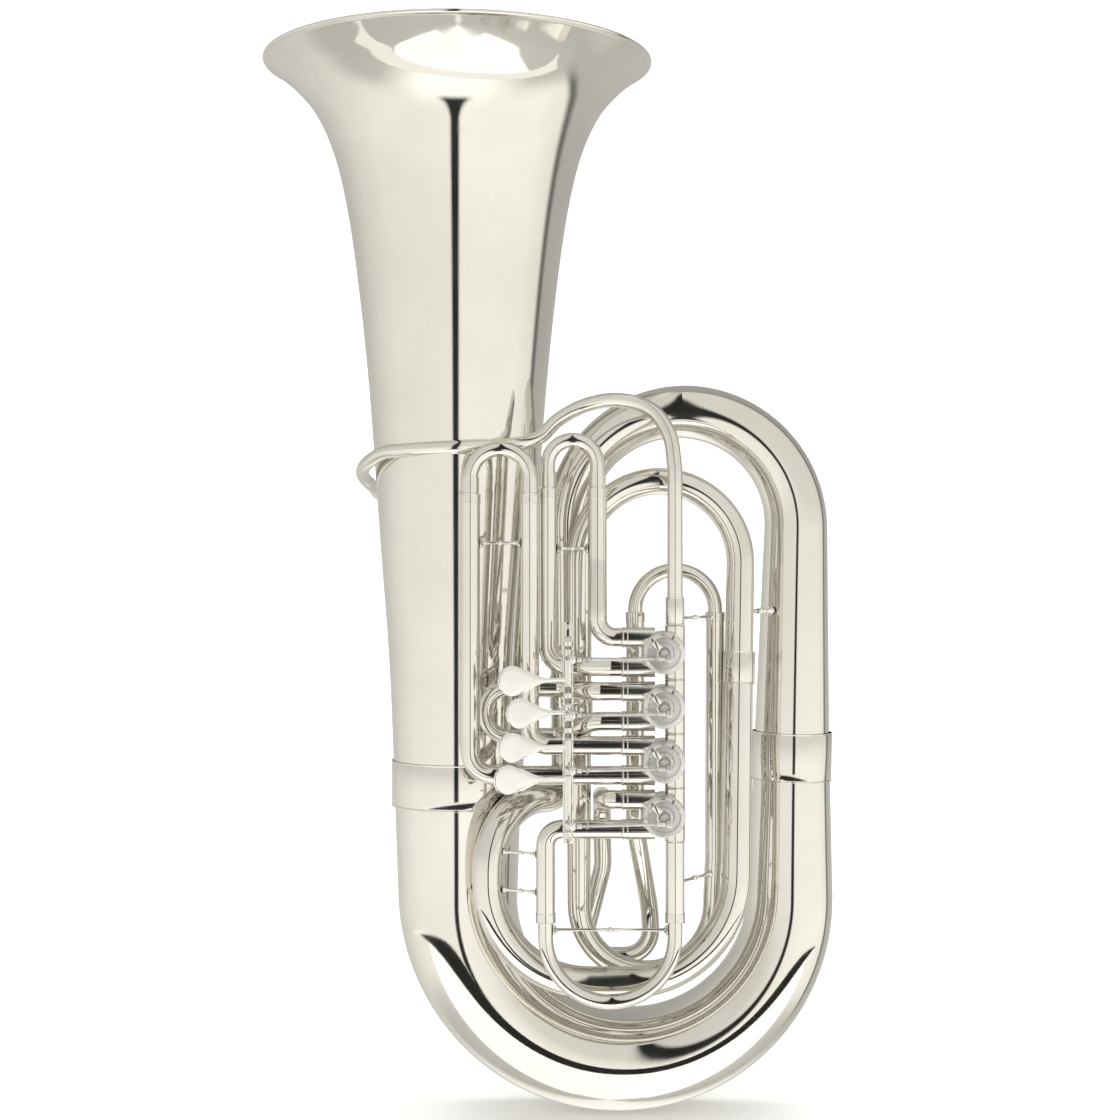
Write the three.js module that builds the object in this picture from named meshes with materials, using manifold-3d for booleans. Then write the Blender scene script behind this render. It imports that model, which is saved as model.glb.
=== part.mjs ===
// A B-flat tuba with four rotary valves, bell up, in millimetres.
// X runs across the body from the bell side to the outer branch, Y runs from the valve side to the
// back, and Z runs up. The origin is the lowest point of the bottom bow, where the body is held.
import * as THREE from "three";
import { mergeVertices } from "three/addons/utils/BufferGeometryUtils.js";
import Module from "manifold-3d";

// ---------------------------------------------------------------- driving dimensions
const GAP = 0.3; // clearance between pieces that touch
const WALL = 0.8; // sheet thickness of the large branches
const TUBE_WALL = 0.9; // wall of the small cylindrical tubing
const FINE = 16; // sides of the large branches
const MEDIUM = 10; // sides of the inner branches
const COARSE = 8; // sides of the small tubing

const BELL_X = -154.5;
const RIM_Z = 1044;
const RIM_RADIUS = 191;
const BEAD_RADIUS = 2.4;
const BELL_END_Z = 331;
const BELL_END_RADIUS = 63.4;

const BOW_Z = 217; // height of the centre of the bottom bow
const BOW_RIGHT_X = 175.5;
const BOW_JOINT_Z = 355;
const OUTER_RIGHT_X = 185.5;
const TOP_CENTRE_Z = 583;
const TOP_LEFT_X = -45;
const TOP_JOINT_Z = 420;

const INNER_Y = -45; // plane of the inner branches
const INNER_LEFT_X = -34;
const INNER_RIGHT_X = 125;
const INNER_TOP_Z = 627;
const INNER_JOINT_Z = 445;
const INNER_LEFT_JOINT_Z = 400;
const LOOP_Y = -84; // plane of the front loop
const LOOP_LEFT_X = -121;
const LOOP_RIGHT_X = 115;
const LOOP_BOTTOM_Z = 146;
const LOOP_TOP_Z = 318;
const INNER_BOW_Z = 148;

const VALVE_X = 45; // the rotors' axes
const PORT_X = 56; // the straight run from the leadpipe down through the valves
const VALVE_Y = -110; // plane of the valves and of their slides
const VALVE_TOP_Z = 463;
const VALVE_PITCH = 51;
const PORT_OFFSET = 14;
const CASING_RADIUS = 20;
const CASING_HALF = 18;
const ROTOR_RADIUS = 16;
const ROTOR_HALF = 14;
const STUB_RADIUS = 9.6;
const STUB_REACH = 39.5; // from the rotor axis to the end of a side port

const TUBE_RADIUS = 7.1; // the slides' inner legs and crooks
const SLEEVE_RADIUS = 9; // the fixed outer legs
const LEADPIPE_RADIUS = 7.4;

const FIRST_Y = -96; // the first slide lies behind the third
const FIRST_LEFT_X = -64;
const FIRST_RIGHT_X = -17;
const FIRST_TOP_Z = 664;
const THIRD_LEFT_X = -137;
const THIRD_RIGHT_X = -81;
const THIRD_TOP_Z = 655;
const FIRST_SLEEVE_END_Z = 618;
const THIRD_SLEEVE_END_Z = 612;
const SECOND_Y = -88;
const SECOND_CROOK_X = -124;
const SECOND_TOP_Z = 428;
const SECOND_LOW_Z = 381;
const SECOND_SLEEVE_END_X = -92;
const FOURTH_LEFT_X = -66;
const FOURTH_BOTTOM_Z = 133;
const FOURTH_SLEEVE_END_Z = 208;
const TUNING_LEFT_X = 21;
const TUNING_RIGHT_X = 99;
const TUNING_TOP_Z = 540;
const TUNING_SLEEVE_END_Z = 499;
const SLIDE_INSERT = 60; // how far a slide's legs reach into their sleeves

const HINGE_X = -45;
const HINGE_Y = -130;
const HINGE_LOW_Z = 290;
const HINGE_TOP_Z = 476;
const HINGE_RADIUS = 2;
const LEVER_ARM = 30; // from the hinge rod to the link's pivot
const LEVER_REST_DEG = 8; // lean of that arm at rest
const CRANK_RADIUS = 6;
const LINK_DROP = 4.6; // the link rods lie this far below the rotor axes
const LINK_RADIUS = 1.6;
const BARREL_RADIUS = 4.4;
const PADDLE_Z = [438, 408, 376, 346];
const PADDLE_X = [-97, -90, -97, -101];
const BARREL_SPAN = [
  [432, 466],
  [400, 415],
  [350, 382],
  [299, 348.5],
];
const LUG_Z = [294, 391, 423.5, 472];
const RACK_LOW_Z = 284;
const RACK_TOP_Z = 492;

const SILVER = { color: 0xdedcd4, roughness: 0.12, metalness: 1.0 };
const BRIGHT = { color: 0xe9e8e2, roughness: 0.25, metalness: 1.0 };
const STEEL = { color: 0xb9b9b6, roughness: 0.3, metalness: 1.0 };

// ---------------------------------------------------------------- solids
const wasm = await Module();
wasm.setup();

function solid(geometry) {
  const bare = geometry.clone();
  bare.deleteAttribute("normal");
  bare.deleteAttribute("uv");
  const merged = mergeVertices(bare, 1e-4);
  const vertProperties = new Float32Array(merged.attributes.position.array);
  const triVerts = new Uint32Array(merged.index.array);
  return new wasm.Manifold(new wasm.Mesh({ numProp: 3, vertProperties, triVerts }));
}

function geometryOf(body) {
  const mesh = body.getMesh();
  const geometry = new THREE.BufferGeometry();
  geometry.setAttribute("position", new THREE.BufferAttribute(mesh.vertProperties, 3));
  geometry.setIndex(new THREE.BufferAttribute(mesh.triVerts, 1));
  geometry.computeVertexNormals();
  return geometry;
}

function join(...geometries) {
  return geometries.map(solid).reduce((all, next) => all.add(next));
}

function cut(body, ...geometries) {
  return geometries.map(solid).reduce((left, next) => left.subtract(next), body);
}

const root = new THREE.Group();

function piece(name, shape, finish) {
  const geometry = shape.isBufferGeometry ? shape : geometryOf(shape);
  const mesh = new THREE.Mesh(geometry, new THREE.MeshStandardMaterial(finish));
  mesh.name = name;
  root.add(mesh);
}

const at = (x, y, z) => new THREE.Vector3(x, y, z);

function rod(from, to, radius, sides = COARSE) {
  const axis = to.clone().sub(from);
  const geometry = new THREE.CylinderGeometry(radius, radius, axis.length(), sides);
  const turn = new THREE.Quaternion().setFromUnitVectors(at(0, 1, 0), axis.clone().normalize());
  geometry.applyQuaternion(turn);
  const middle = from.clone().add(to).multiplyScalar(0.5);
  return geometry.translate(middle.x, middle.y, middle.z);
}

function block(low, high) {
  const size = high.clone().sub(low);
  const middle = low.clone().add(high).multiplyScalar(0.5);
  return new THREE.BoxGeometry(size.x, size.y, size.z).translate(middle.x, middle.y, middle.z);
}

// ---------------------------------------------------------------- tubes along a route
const LEAST_STEP = 4; // stations closer than this would fold the section

// A route is a list of corners. Each inner corner is rounded with its own bend radius, and the
// stations run straight between bends and every few degrees round them.
function route(corners, bendStep = 24) {
  const stations = [corners[0].point];
  for (let i = 1; i < corners.length - 1; i += 1) {
    const { point, bend } = corners[i];
    const incoming = point.clone().sub(corners[i - 1].point).normalize();
    const outgoing = corners[i + 1].point.clone().sub(point).normalize();
    const angle = incoming.angleTo(outgoing);
    const setback = bend * Math.tan(angle / 2);
    const start = point.clone().addScaledVector(incoming, -setback);
    const inward = outgoing.clone().addScaledVector(incoming, -outgoing.dot(incoming)).normalize();
    const centre = start.clone().addScaledVector(inward, bend);
    const count = Math.max(2, Math.ceil(THREE.MathUtils.radToDeg(angle) / bendStep));
    for (let k = 0; k <= count; k += 1) {
      const turned = (angle * k) / count;
      const station = centre.clone();
      station.addScaledVector(inward, -bend * Math.cos(turned));
      station.addScaledVector(incoming, bend * Math.sin(turned));
      if (station.distanceTo(stations.at(-1)) > LEAST_STEP) stations.push(station);
    }
  }
  const last = corners.at(-1).point;
  if (last.distanceTo(stations.at(-1)) < LEAST_STEP) stations.pop();
  stations.push(last);
  return stations;
}

const corner = (x, y, z, bend = 0) => ({ point: at(x, y, z), bend });

// A curve whose parameter runs evenly over the stations, so each station gets one ring.
class StationCurve extends THREE.Curve {
  constructor(stations) {
    super();
    this.stations = stations;
  }

  getUtoTmapping(u) {
    return u;
  }

  getPoint(t) {
    const place = t * (this.stations.length - 1);
    const index = Math.min(Math.floor(place + 1e-9), this.stations.length - 2);
    return this.stations[index].clone().lerp(this.stations[index + 1], place - index);
  }

  getTangent(t) {
    const index = Math.round(t * (this.stations.length - 1));
    const here = this.stations[index];
    const before = this.stations[index - 1];
    const after = this.stations[index + 1];
    if (!before) return after.clone().sub(here).normalize();
    if (!after) return here.clone().sub(before).normalize();
    const incoming = here.clone().sub(before).normalize();
    return incoming.add(after.clone().sub(here).normalize()).normalize();
  }
}

function circle(radius, sides) {
  const shape = new THREE.Shape();
  for (let k = 0; k < sides; k += 1) {
    const angle = (2 * Math.PI * k) / sides;
    const x = radius * Math.cos(angle);
    const y = radius * Math.sin(angle);
    if (k === 0) shape.moveTo(x, y);
    else shape.lineTo(x, y);
  }
  shape.closePath();
  return shape;
}

// radiusAt gives the outer radius for a share of the length, and a wall of 0 makes a solid bar.
function sweep(stations, radiusAt, wall, sides = COARSE) {
  const lengths = [0];
  for (let i = 1; i < stations.length; i += 1) {
    lengths.push(lengths[i - 1] + stations[i].distanceTo(stations[i - 1]));
  }
  const total = lengths.at(-1);
  const outer = 1;
  const inner = 0.5;
  const section = circle(outer, sides);
  if (wall > 0) section.holes.push(circle(inner, sides));
  const curve = new StationCurve(stations);
  const steps = stations.length - 1;
  const options = { steps, extrudePath: curve, bevelEnabled: false };
  const geometry = new THREE.ExtrudeGeometry(section, options);
  const tangents = stations.map((_, i) => curve.getTangent(i / steps));
  const position = geometry.getAttribute("position");
  const vertex = new THREE.Vector3();
  for (let v = 0; v < position.count; v += 1) {
    vertex.fromBufferAttribute(position, v);
    let ring = -1;
    let least = Infinity;
    for (let i = 0; i < stations.length; i += 1) {
      const arm = vertex.clone().sub(stations[i]);
      const off = Math.abs(arm.dot(tangents[i])) + Math.max(0, arm.length() - outer - 1e-3);
      if (off < least) {
        least = off;
        ring = i;
      }
    }
    const arm = vertex.sub(stations[ring]);
    const radius = radiusAt(lengths[ring] / total);
    const isInner = arm.length() < (outer + inner) / 2;
    arm.setLength(isInner ? radius - wall : radius);
    position.setXYZ(v, stations[ring].x + arm.x, stations[ring].y + arm.y, stations[ring].z + arm.z);
  }
  return geometry;
}

const even = (radius) => () => radius;
const taper = (from, to) => (share) => from + (to - from) * share;

function collar(from, to, innerRadius, outerRadius, sides = FINE) {
  const axis = to.clone().sub(from).normalize();
  const long = from.clone().addScaledVector(axis, -2);
  const past = to.clone().addScaledVector(axis, 2);
  return cut(solid(rod(from, to, outerRadius, sides)), rod(long, past, innerRadius, sides));
}

// ---------------------------------------------------------------- bell and large branches
// The outside of the bell runs through these radii and heights: a slow cone, then the flare.
const BELL_OUTLINE = [
  [BELL_END_RADIUS, BELL_END_Z],
  [68.5, 450],
  [77.5, 570],
  [87.5, 710],
  [97.5, 810],
  [108.5, 890],
  [122, 950],
  [141, 994],
  [165, 1023],
  [RIM_RADIUS, RIM_Z],
];
const BELL_STEPS = 14;

function bell() {
  const curve = new THREE.SplineCurve(BELL_OUTLINE.map(([radius, z]) => new THREE.Vector2(radius, z)));
  const outside = curve.getPoints(BELL_STEPS);
  const bead = [
    new THREE.Vector2(RIM_RADIUS + BEAD_RADIUS * 0.8, RIM_Z + 0.4),
    new THREE.Vector2(RIM_RADIUS + BEAD_RADIUS, RIM_Z + BEAD_RADIUS * 0.8),
    new THREE.Vector2(RIM_RADIUS + BEAD_RADIUS * 0.6, RIM_Z + BEAD_RADIUS * 1.5),
    new THREE.Vector2(RIM_RADIUS - BEAD_RADIUS * 1.4, RIM_Z + BEAD_RADIUS * 1.5),
  ];
  const inside = outside.map((point, i) => {
    const along = curve.getTangent(i / BELL_STEPS);
    const inward = new THREE.Vector2(-along.y, along.x);
    if (i === 0) inward.set(-1, 0);
    return point.clone().addScaledVector(inward, WALL);
  });
  const outline = [...outside, ...bead, ...inside.reverse()];
  outline.push(outline[0].clone());
  const geometry = new THREE.LatheGeometry(outline, 32);
  geometry.rotateX(Math.PI / 2);
  return geometry.translate(BELL_X, 0, 0);
}

piece("bell", bell(), SILVER);

const bowRadius = (BOW_RIGHT_X - BELL_X) / 2;
const bowLow = BOW_Z - bowRadius;
const bottomRoute = route(
  [
    corner(BELL_X, 0, BELL_END_Z - GAP),
    corner(BELL_X, 0, bowLow, bowRadius),
    corner(BOW_RIGHT_X, 0, bowLow, bowRadius),
    corner(BOW_RIGHT_X + 3.5, 0, BOW_JOINT_Z),
  ],
  18,
);
piece("bottom_bow", sweep(bottomRoute, taper(63.4, 37.6), WALL, FINE), SILVER);
piece(
  "bell_ferrule",
  collar(at(BELL_X, 0, 306), at(BELL_X, 0, 351), 65.1, 65.9, 24),
  SILVER,
);
piece(
  "bow_ferrule",
  collar(at(BOW_RIGHT_X + 3, 0, 331), at(BOW_RIGHT_X + 4.1, 0, 379), 39.3, 40.1, 24),
  SILVER,
);

const topHigh = TOP_CENTRE_Z + (OUTER_RIGHT_X - TOP_LEFT_X) / 2;
const topBend = (OUTER_RIGHT_X - TOP_LEFT_X) / 2 - 0.2;
const topRoute = route(
  [
    corner(BOW_RIGHT_X + 3.5, 0, BOW_JOINT_Z + GAP),
    corner(OUTER_RIGHT_X, 0, topHigh, topBend),
    corner(TOP_LEFT_X, 0, topHigh, topBend),
    corner(TOP_LEFT_X, 0, TOP_JOINT_Z),
  ],
  18,
);
piece("top_bow", sweep(topRoute, taper(37.6, 16.6), WALL, FINE), SILVER);

// The front loop falls from the top bow, crosses in front of the bell's foot, runs round the
// bottom and climbs beside the outer branch.
const loopRoute = route(
  [
    corner(TOP_LEFT_X, 0, TOP_JOINT_Z - GAP),
    corner(TOP_LEFT_X, 0, TOP_JOINT_Z - 28, 60),
    corner(TOP_LEFT_X, -12.8, LOOP_TOP_Z, 34),
    corner(LOOP_LEFT_X, LOOP_Y, LOOP_TOP_Z, 66),
    corner(LOOP_LEFT_X, LOOP_Y, LOOP_BOTTOM_Z, 96),
    corner(LOOP_RIGHT_X, LOOP_Y, LOOP_BOTTOM_Z, 104),
    corner(INNER_RIGHT_X - 4, -57, INNER_JOINT_Z),
  ],
  22,
);
piece("front_loop", sweep(loopRoute, taper(16.4, 13.8), WALL, MEDIUM), SILVER);
piece(
  "top_bow_ferrule",
  collar(at(TOP_LEFT_X, 0, TOP_JOINT_Z - 18), at(TOP_LEFT_X, 0, TOP_JOINT_Z + 14), 17.8, 18.6, FINE),
  SILVER,
);

const archBend = (INNER_RIGHT_X - INNER_LEFT_X) / 2 - 0.2;
const archRoute = route(
  [
    corner(INNER_RIGHT_X - 4, -57, INNER_JOINT_Z + 2 * GAP),
    corner(INNER_RIGHT_X, INNER_Y, INNER_TOP_Z, archBend),
    corner(INNER_LEFT_X, INNER_Y, INNER_TOP_Z, archBend),
    corner(INNER_LEFT_X, INNER_Y, INNER_LEFT_JOINT_Z),
  ],
  22,
);
piece("inner_arch", sweep(archRoute, taper(13.8, 12.2), WALL, MEDIUM), SILVER);
piece(
  "inner_ferrule",
  collar(at(INNER_RIGHT_X - 4.5, -59.1, 430), at(INNER_RIGHT_X - 3.6, -56, 461), 15, 15.8, FINE),
  SILVER,
);

const innerBowRoute = route(
  [
    corner(INNER_LEFT_X, INNER_Y, INNER_LEFT_JOINT_Z - GAP),
    corner(INNER_LEFT_X, INNER_Y, INNER_BOW_Z, 66),
    corner(TUNING_RIGHT_X - 4, INNER_Y, INNER_BOW_Z, 66),
    corner(TUNING_RIGHT_X, INNER_Y, 260, 90),
    corner(TUNING_RIGHT_X, INNER_Y, TUNING_SLEEVE_END_Z),
  ],
  22,
);
piece("inner_bow", sweep(innerBowRoute, taper(12.2, SLEEVE_RADIUS), TUBE_WALL, COARSE), SILVER);
piece(
  "inner_bow_ferrule",
  collar(at(INNER_LEFT_X, INNER_Y, 388), at(INNER_LEFT_X, INNER_Y, 412), 13.1, 13.8, MEDIUM),
  SILVER,
);

// ---------------------------------------------------------------- leadpipe
const leadStations = [at(-240, 62, 622)];
for (let degrees = 165; degrees <= 300; degrees += 15) {
  const angle = THREE.MathUtils.degToRad(degrees);
  const rise = (32 * (degrees - 150)) / 75;
  const z = degrees < 225 ? 622 + rise : 654 + (degrees - 225) * 0.07;
  leadStations.push(at(BELL_X + 95 * Math.cos(angle), 95 * Math.sin(angle), z));
}
leadStations.push(at(-73, -78, 667));
leadStations.push(at(-55, -78.5, 684));
leadStations.push(at(-29, -80, 698));
leadStations.push(at(2, -85, 703));
leadStations.push(at(34, -96, 693));
leadStations.push(at(51, -106, 668));
leadStations.push(at(PORT_X, VALVE_Y, 636));
const leadCurve = new THREE.CatmullRomCurve3(leadStations, false, "centripetal");
const leadPoints = leadCurve.getPoints(20);
const leadEndZ = VALVE_TOP_Z + VALVE_PITCH / 2 + GAP / 2;
leadPoints.push(at(PORT_X, VALVE_Y, leadEndZ));
const leadTaper = (share) => LEADPIPE_RADIUS - 1 + share;
piece("leadpipe", sweep(leadPoints, leadTaper, TUBE_WALL, COARSE), SILVER);
piece(
  "leadpipe_ferrule",
  collar(at(PORT_X, VALVE_Y, leadEndZ + GAP), at(PORT_X, VALVE_Y, 515), 8.1, 9.4, MEDIUM),
  SILVER,
);

const receiverAxis = leadPoints[0].clone().sub(leadPoints[1]).normalize();
const receiverStart = leadPoints[0].clone().addScaledVector(receiverAxis, GAP);
const receiverEnd = receiverStart.clone().addScaledVector(receiverAxis, 38);
const receiverLip = receiverEnd.clone().addScaledVector(receiverAxis, -5);
const receiverPast = receiverEnd.clone().addScaledVector(receiverAxis, 2);
const receiverBack = receiverStart.clone().addScaledVector(receiverAxis, -2);
piece(
  "mouthpiece_receiver",
  cut(
    join(rod(receiverStart, receiverEnd, 8.6, FINE), rod(receiverLip, receiverEnd, 10, FINE)),
    rod(receiverBack, receiverPast, 6.2, MEDIUM),
  ),
  BRIGHT,
);

// ---------------------------------------------------------------- valves
const valveZ = [0, 1, 2, 3].map((i) => VALVE_TOP_Z - VALVE_PITCH * i);
const PLATE_FRONT = VALVE_Y - CASING_HALF - 4;

function casing(z) {
  const front = at(VALVE_X, PLATE_FRONT, z);
  const back = at(VALVE_X, VALVE_Y + CASING_HALF, z);
  const half = VALVE_PITCH / 2 - GAP / 2;
  const left = VALVE_X - STUB_REACH;
  const stubs = [
    rod(at(PORT_X, VALVE_Y, z - half), at(PORT_X, VALVE_Y, z + half), STUB_RADIUS, MEDIUM),
    rod(at(left, VALVE_Y, z + PORT_OFFSET), at(VALVE_X - 8, VALVE_Y, z + PORT_OFFSET), STUB_RADIUS, MEDIUM),
    rod(at(left, VALVE_Y, z - PORT_OFFSET), at(VALVE_X - 8, VALVE_Y, z - PORT_OFFSET), STUB_RADIUS, MEDIUM),
  ];
  const body = join(rod(front, back, CASING_RADIUS, FINE), ...stubs);
  const bore = TUBE_RADIUS - TUBE_WALL;
  const cavityFront = at(VALVE_X, VALVE_Y - ROTOR_HALF - GAP, z);
  const cavityBack = at(VALVE_X, VALVE_Y + ROTOR_HALF + GAP, z);
  const upper = [at(left - 2, VALVE_Y, z + PORT_OFFSET), at(VALVE_X - 4, VALVE_Y, z + PORT_OFFSET)];
  const lower = [at(left - 2, VALVE_Y, z - PORT_OFFSET), at(VALVE_X - 4, VALVE_Y, z - PORT_OFFSET)];
  return cut(
    body,
    rod(cavityFront, cavityBack, ROTOR_RADIUS + 2 * GAP, FINE),
    rod(at(PORT_X, VALVE_Y, z - half - 2), at(PORT_X, VALVE_Y, z + half + 2), bore, COARSE),
    rod(...upper, bore - 1, COARSE),
    rod(...lower, bore - 1, COARSE),
    rod(at(VALVE_X, PLATE_FRONT - 2, z), cavityBack, 4.4, COARSE),
  );
}

function rotor(z) {
  const body = join(
    rod(at(VALVE_X, VALVE_Y - ROTOR_HALF, z), at(VALVE_X, VALVE_Y + ROTOR_HALF, z), ROTOR_RADIUS, FINE),
    rod(at(VALVE_X, PLATE_FRONT - 7, z), at(VALVE_X, VALVE_Y, z), 3.8, COARSE),
  );
  const straight = [at(PORT_X, VALVE_Y, z - 20), at(PORT_X, VALVE_Y, z + 20)];
  const bend = sweep(
    route([
      corner(VALVE_X - 24, VALVE_Y, z + 9),
      corner(VALVE_X - 8, VALVE_Y, z + 9, 8),
      corner(VALVE_X - 8, VALVE_Y, z - 9, 8),
      corner(VALVE_X - 24, VALVE_Y, z - 9),
    ]),
    even(5),
    0,
    6,
  );
  return cut(body, rod(...straight, 5.8, COARSE), bend);
}

// The crank starts 45 degrees past the vertical and the stop finger lies opposite to it.
function stopArm(z) {
  const backY = PLATE_FRONT - 0.5;
  const frontY = PLATE_FRONT - 4.5;
  const reach = CRANK_RADIUS * Math.SQRT1_2;
  const hub = rod(at(VALVE_X, backY, z), at(VALVE_X, frontY, z), 7.5, MEDIUM);
  const pin = rod(at(VALVE_X + reach, backY, z - reach), at(VALVE_X + reach, frontY - 6, z - reach), 2, 8);
  const finger = new THREE.BoxGeometry(11, 3.4, 6).rotateY(-Math.PI / 4);
  finger.translate(VALVE_X - 7, (backY + frontY) / 2, z + 7);
  const bore = rod(at(VALVE_X, backY + 2, z), at(VALVE_X, frontY - 2, z), 4.2, COARSE);
  return cut(join(hub, pin, finger), bore);
}

valveZ.forEach((z, i) => {
  piece(`valve_casing_${i + 1}`, casing(z), SILVER);
  piece(`rotor_${i + 1}`, rotor(z), BRIGHT);
  piece(`stop_arm_${i + 1}`, stopArm(z), BRIGHT);
});

// ---------------------------------------------------------------- slides and their sleeves
const stubEndX = VALVE_X - STUB_REACH - GAP;

function sleeve(name, corners) {
  piece(name, sweep(route(corners), even(SLEEVE_RADIUS), TUBE_WALL), SILVER);
}

function slide(name, corners) {
  piece(name, sweep(route(corners), even(TUBE_RADIUS), TUBE_WALL), SILVER);
}

const firstBend = (FIRST_RIGHT_X - FIRST_LEFT_X) / 2 - 0.1;
sleeve("first_sleeve_left", [
  corner(stubEndX, VALVE_Y, valveZ[0] - PORT_OFFSET),
  corner(stubEndX - 12, VALVE_Y, valveZ[0] - PORT_OFFSET, 30),
  corner(FIRST_LEFT_X, FIRST_Y, valveZ[0] - PORT_OFFSET, 20),
  corner(FIRST_LEFT_X, FIRST_Y, FIRST_SLEEVE_END_Z),
]);
sleeve("first_sleeve_right", [
  corner(stubEndX, VALVE_Y, valveZ[0] + PORT_OFFSET),
  corner(FIRST_RIGHT_X, VALVE_Y, valveZ[0] + PORT_OFFSET, 17),
  corner(FIRST_RIGHT_X, VALVE_Y, 502, 40),
  corner(FIRST_RIGHT_X, FIRST_Y, 546, 40),
  corner(FIRST_RIGHT_X, FIRST_Y, FIRST_SLEEVE_END_Z),
]);
slide("first_slide", [
  corner(FIRST_LEFT_X, FIRST_Y, FIRST_SLEEVE_END_Z - SLIDE_INSERT),
  corner(FIRST_LEFT_X, FIRST_Y, FIRST_TOP_Z, firstBend),
  corner(FIRST_RIGHT_X, FIRST_Y, FIRST_TOP_Z, firstBend),
  corner(FIRST_RIGHT_X, FIRST_Y, FIRST_SLEEVE_END_Z - SLIDE_INSERT),
]);

const thirdBend = (THIRD_RIGHT_X - THIRD_LEFT_X) / 2 - 0.1;
sleeve("third_sleeve_left", [
  corner(stubEndX, VALVE_Y, valveZ[2] - PORT_OFFSET),
  corner(THIRD_LEFT_X, VALVE_Y, valveZ[2] - PORT_OFFSET, 22),
  corner(THIRD_LEFT_X, VALVE_Y, THIRD_SLEEVE_END_Z),
]);
sleeve("third_sleeve_right", [
  corner(stubEndX, VALVE_Y, valveZ[2] + PORT_OFFSET),
  corner(THIRD_RIGHT_X, VALVE_Y, valveZ[2] + PORT_OFFSET, 18),
  corner(THIRD_RIGHT_X, VALVE_Y, THIRD_SLEEVE_END_Z),
]);
slide("third_slide", [
  corner(THIRD_LEFT_X, VALVE_Y, THIRD_SLEEVE_END_Z - SLIDE_INSERT),
  corner(THIRD_LEFT_X, VALVE_Y, THIRD_TOP_Z, thirdBend),
  corner(THIRD_RIGHT_X, VALVE_Y, THIRD_TOP_Z, thirdBend),
  corner(THIRD_RIGHT_X, VALVE_Y, THIRD_SLEEVE_END_Z - SLIDE_INSERT),
]);

sleeve("second_sleeve_top", [
  corner(stubEndX, VALVE_Y, valveZ[1] + PORT_OFFSET),
  corner(-22, VALVE_Y, valveZ[1] + PORT_OFFSET, 22),
  corner(-48, SECOND_Y, SECOND_TOP_Z, 22),
  corner(SECOND_SLEEVE_END_X, SECOND_Y, SECOND_TOP_Z),
]);
sleeve("second_sleeve_low", [
  corner(stubEndX, VALVE_Y, valveZ[1] - PORT_OFFSET),
  corner(-22, VALVE_Y, valveZ[1] - PORT_OFFSET, 22),
  corner(-50, SECOND_Y, SECOND_LOW_Z, 22),
  corner(SECOND_SLEEVE_END_X, SECOND_Y, SECOND_LOW_Z),
]);
const secondBend = (SECOND_TOP_Z - SECOND_LOW_Z) / 2 - 0.1;
slide("second_slide", [
  corner(SECOND_SLEEVE_END_X + 30, SECOND_Y, SECOND_TOP_Z),
  corner(SECOND_CROOK_X, SECOND_Y, SECOND_TOP_Z, secondBend),
  corner(SECOND_CROOK_X, SECOND_Y, SECOND_LOW_Z, secondBend),
  corner(SECOND_SLEEVE_END_X + 30, SECOND_Y, SECOND_LOW_Z),
]);

const fourthBend = (PORT_X - FOURTH_LEFT_X) / 2 - 0.1;
sleeve("fourth_sleeve_left", [
  corner(stubEndX, VALVE_Y, valveZ[3] - PORT_OFFSET),
  corner(FOURTH_LEFT_X, VALVE_Y, valveZ[3] - PORT_OFFSET, 15),
  corner(FOURTH_LEFT_X, VALVE_Y, FOURTH_SLEEVE_END_Z),
]);
const fourthTop = at(PORT_X, VALVE_Y, valveZ[3] - VALVE_PITCH / 2 - GAP);
const fourthEnd = at(PORT_X, VALVE_Y, FOURTH_SLEEVE_END_Z);
piece(
  "fourth_sleeve_right",
  collar(fourthTop, fourthEnd, SLEEVE_RADIUS - TUBE_WALL, SLEEVE_RADIUS, MEDIUM),
  SILVER,
);
slide("fourth_slide", [
  corner(FOURTH_LEFT_X, VALVE_Y, FOURTH_SLEEVE_END_Z + SLIDE_INSERT),
  corner(FOURTH_LEFT_X, VALVE_Y, FOURTH_BOTTOM_Z, fourthBend),
  corner(PORT_X, VALVE_Y, FOURTH_BOTTOM_Z, fourthBend),
  corner(PORT_X, VALVE_Y, FOURTH_SLEEVE_END_Z + SLIDE_INSERT),
]);

const tuningBend = (TUNING_RIGHT_X - TUNING_LEFT_X) / 2 - 0.1;
sleeve("tuning_entry", [
  corner(stubEndX, VALVE_Y, valveZ[3] + PORT_OFFSET),
  corner(-11.5, VALVE_Y, valveZ[3] + PORT_OFFSET, 12),
  corner(-11.5, -20, 318, 28),
  corner(-10, -14, 246, 50),
  corner(-33, -14, 157, 26),
  corner(39, -14, 157, 26),
  corner(36, -16, 206, 60),
  corner(TUNING_LEFT_X, INNER_Y, 290, 60),
  corner(TUNING_LEFT_X, INNER_Y, TUNING_SLEEVE_END_Z),
]);
slide("main_tuning_slide", [
  corner(TUNING_LEFT_X, INNER_Y, TUNING_SLEEVE_END_Z - SLIDE_INSERT),
  corner(TUNING_LEFT_X, INNER_Y, TUNING_TOP_Z, tuningBend),
  corner(TUNING_RIGHT_X, INNER_Y, TUNING_TOP_Z, tuningBend),
  corner(TUNING_RIGHT_X, INNER_Y, TUNING_SLEEVE_END_Z - SLIDE_INSERT),
]);

// ---------------------------------------------------------------- levers and linkage
const leanX = LEVER_ARM * Math.sin(THREE.MathUtils.degToRad(LEVER_REST_DEG));
const leanY = LEVER_ARM * Math.cos(THREE.MathUtils.degToRad(LEVER_REST_DEG));
const ARM_TIP = at(HINGE_X + leanX, HINGE_Y - leanY, 0);

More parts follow.
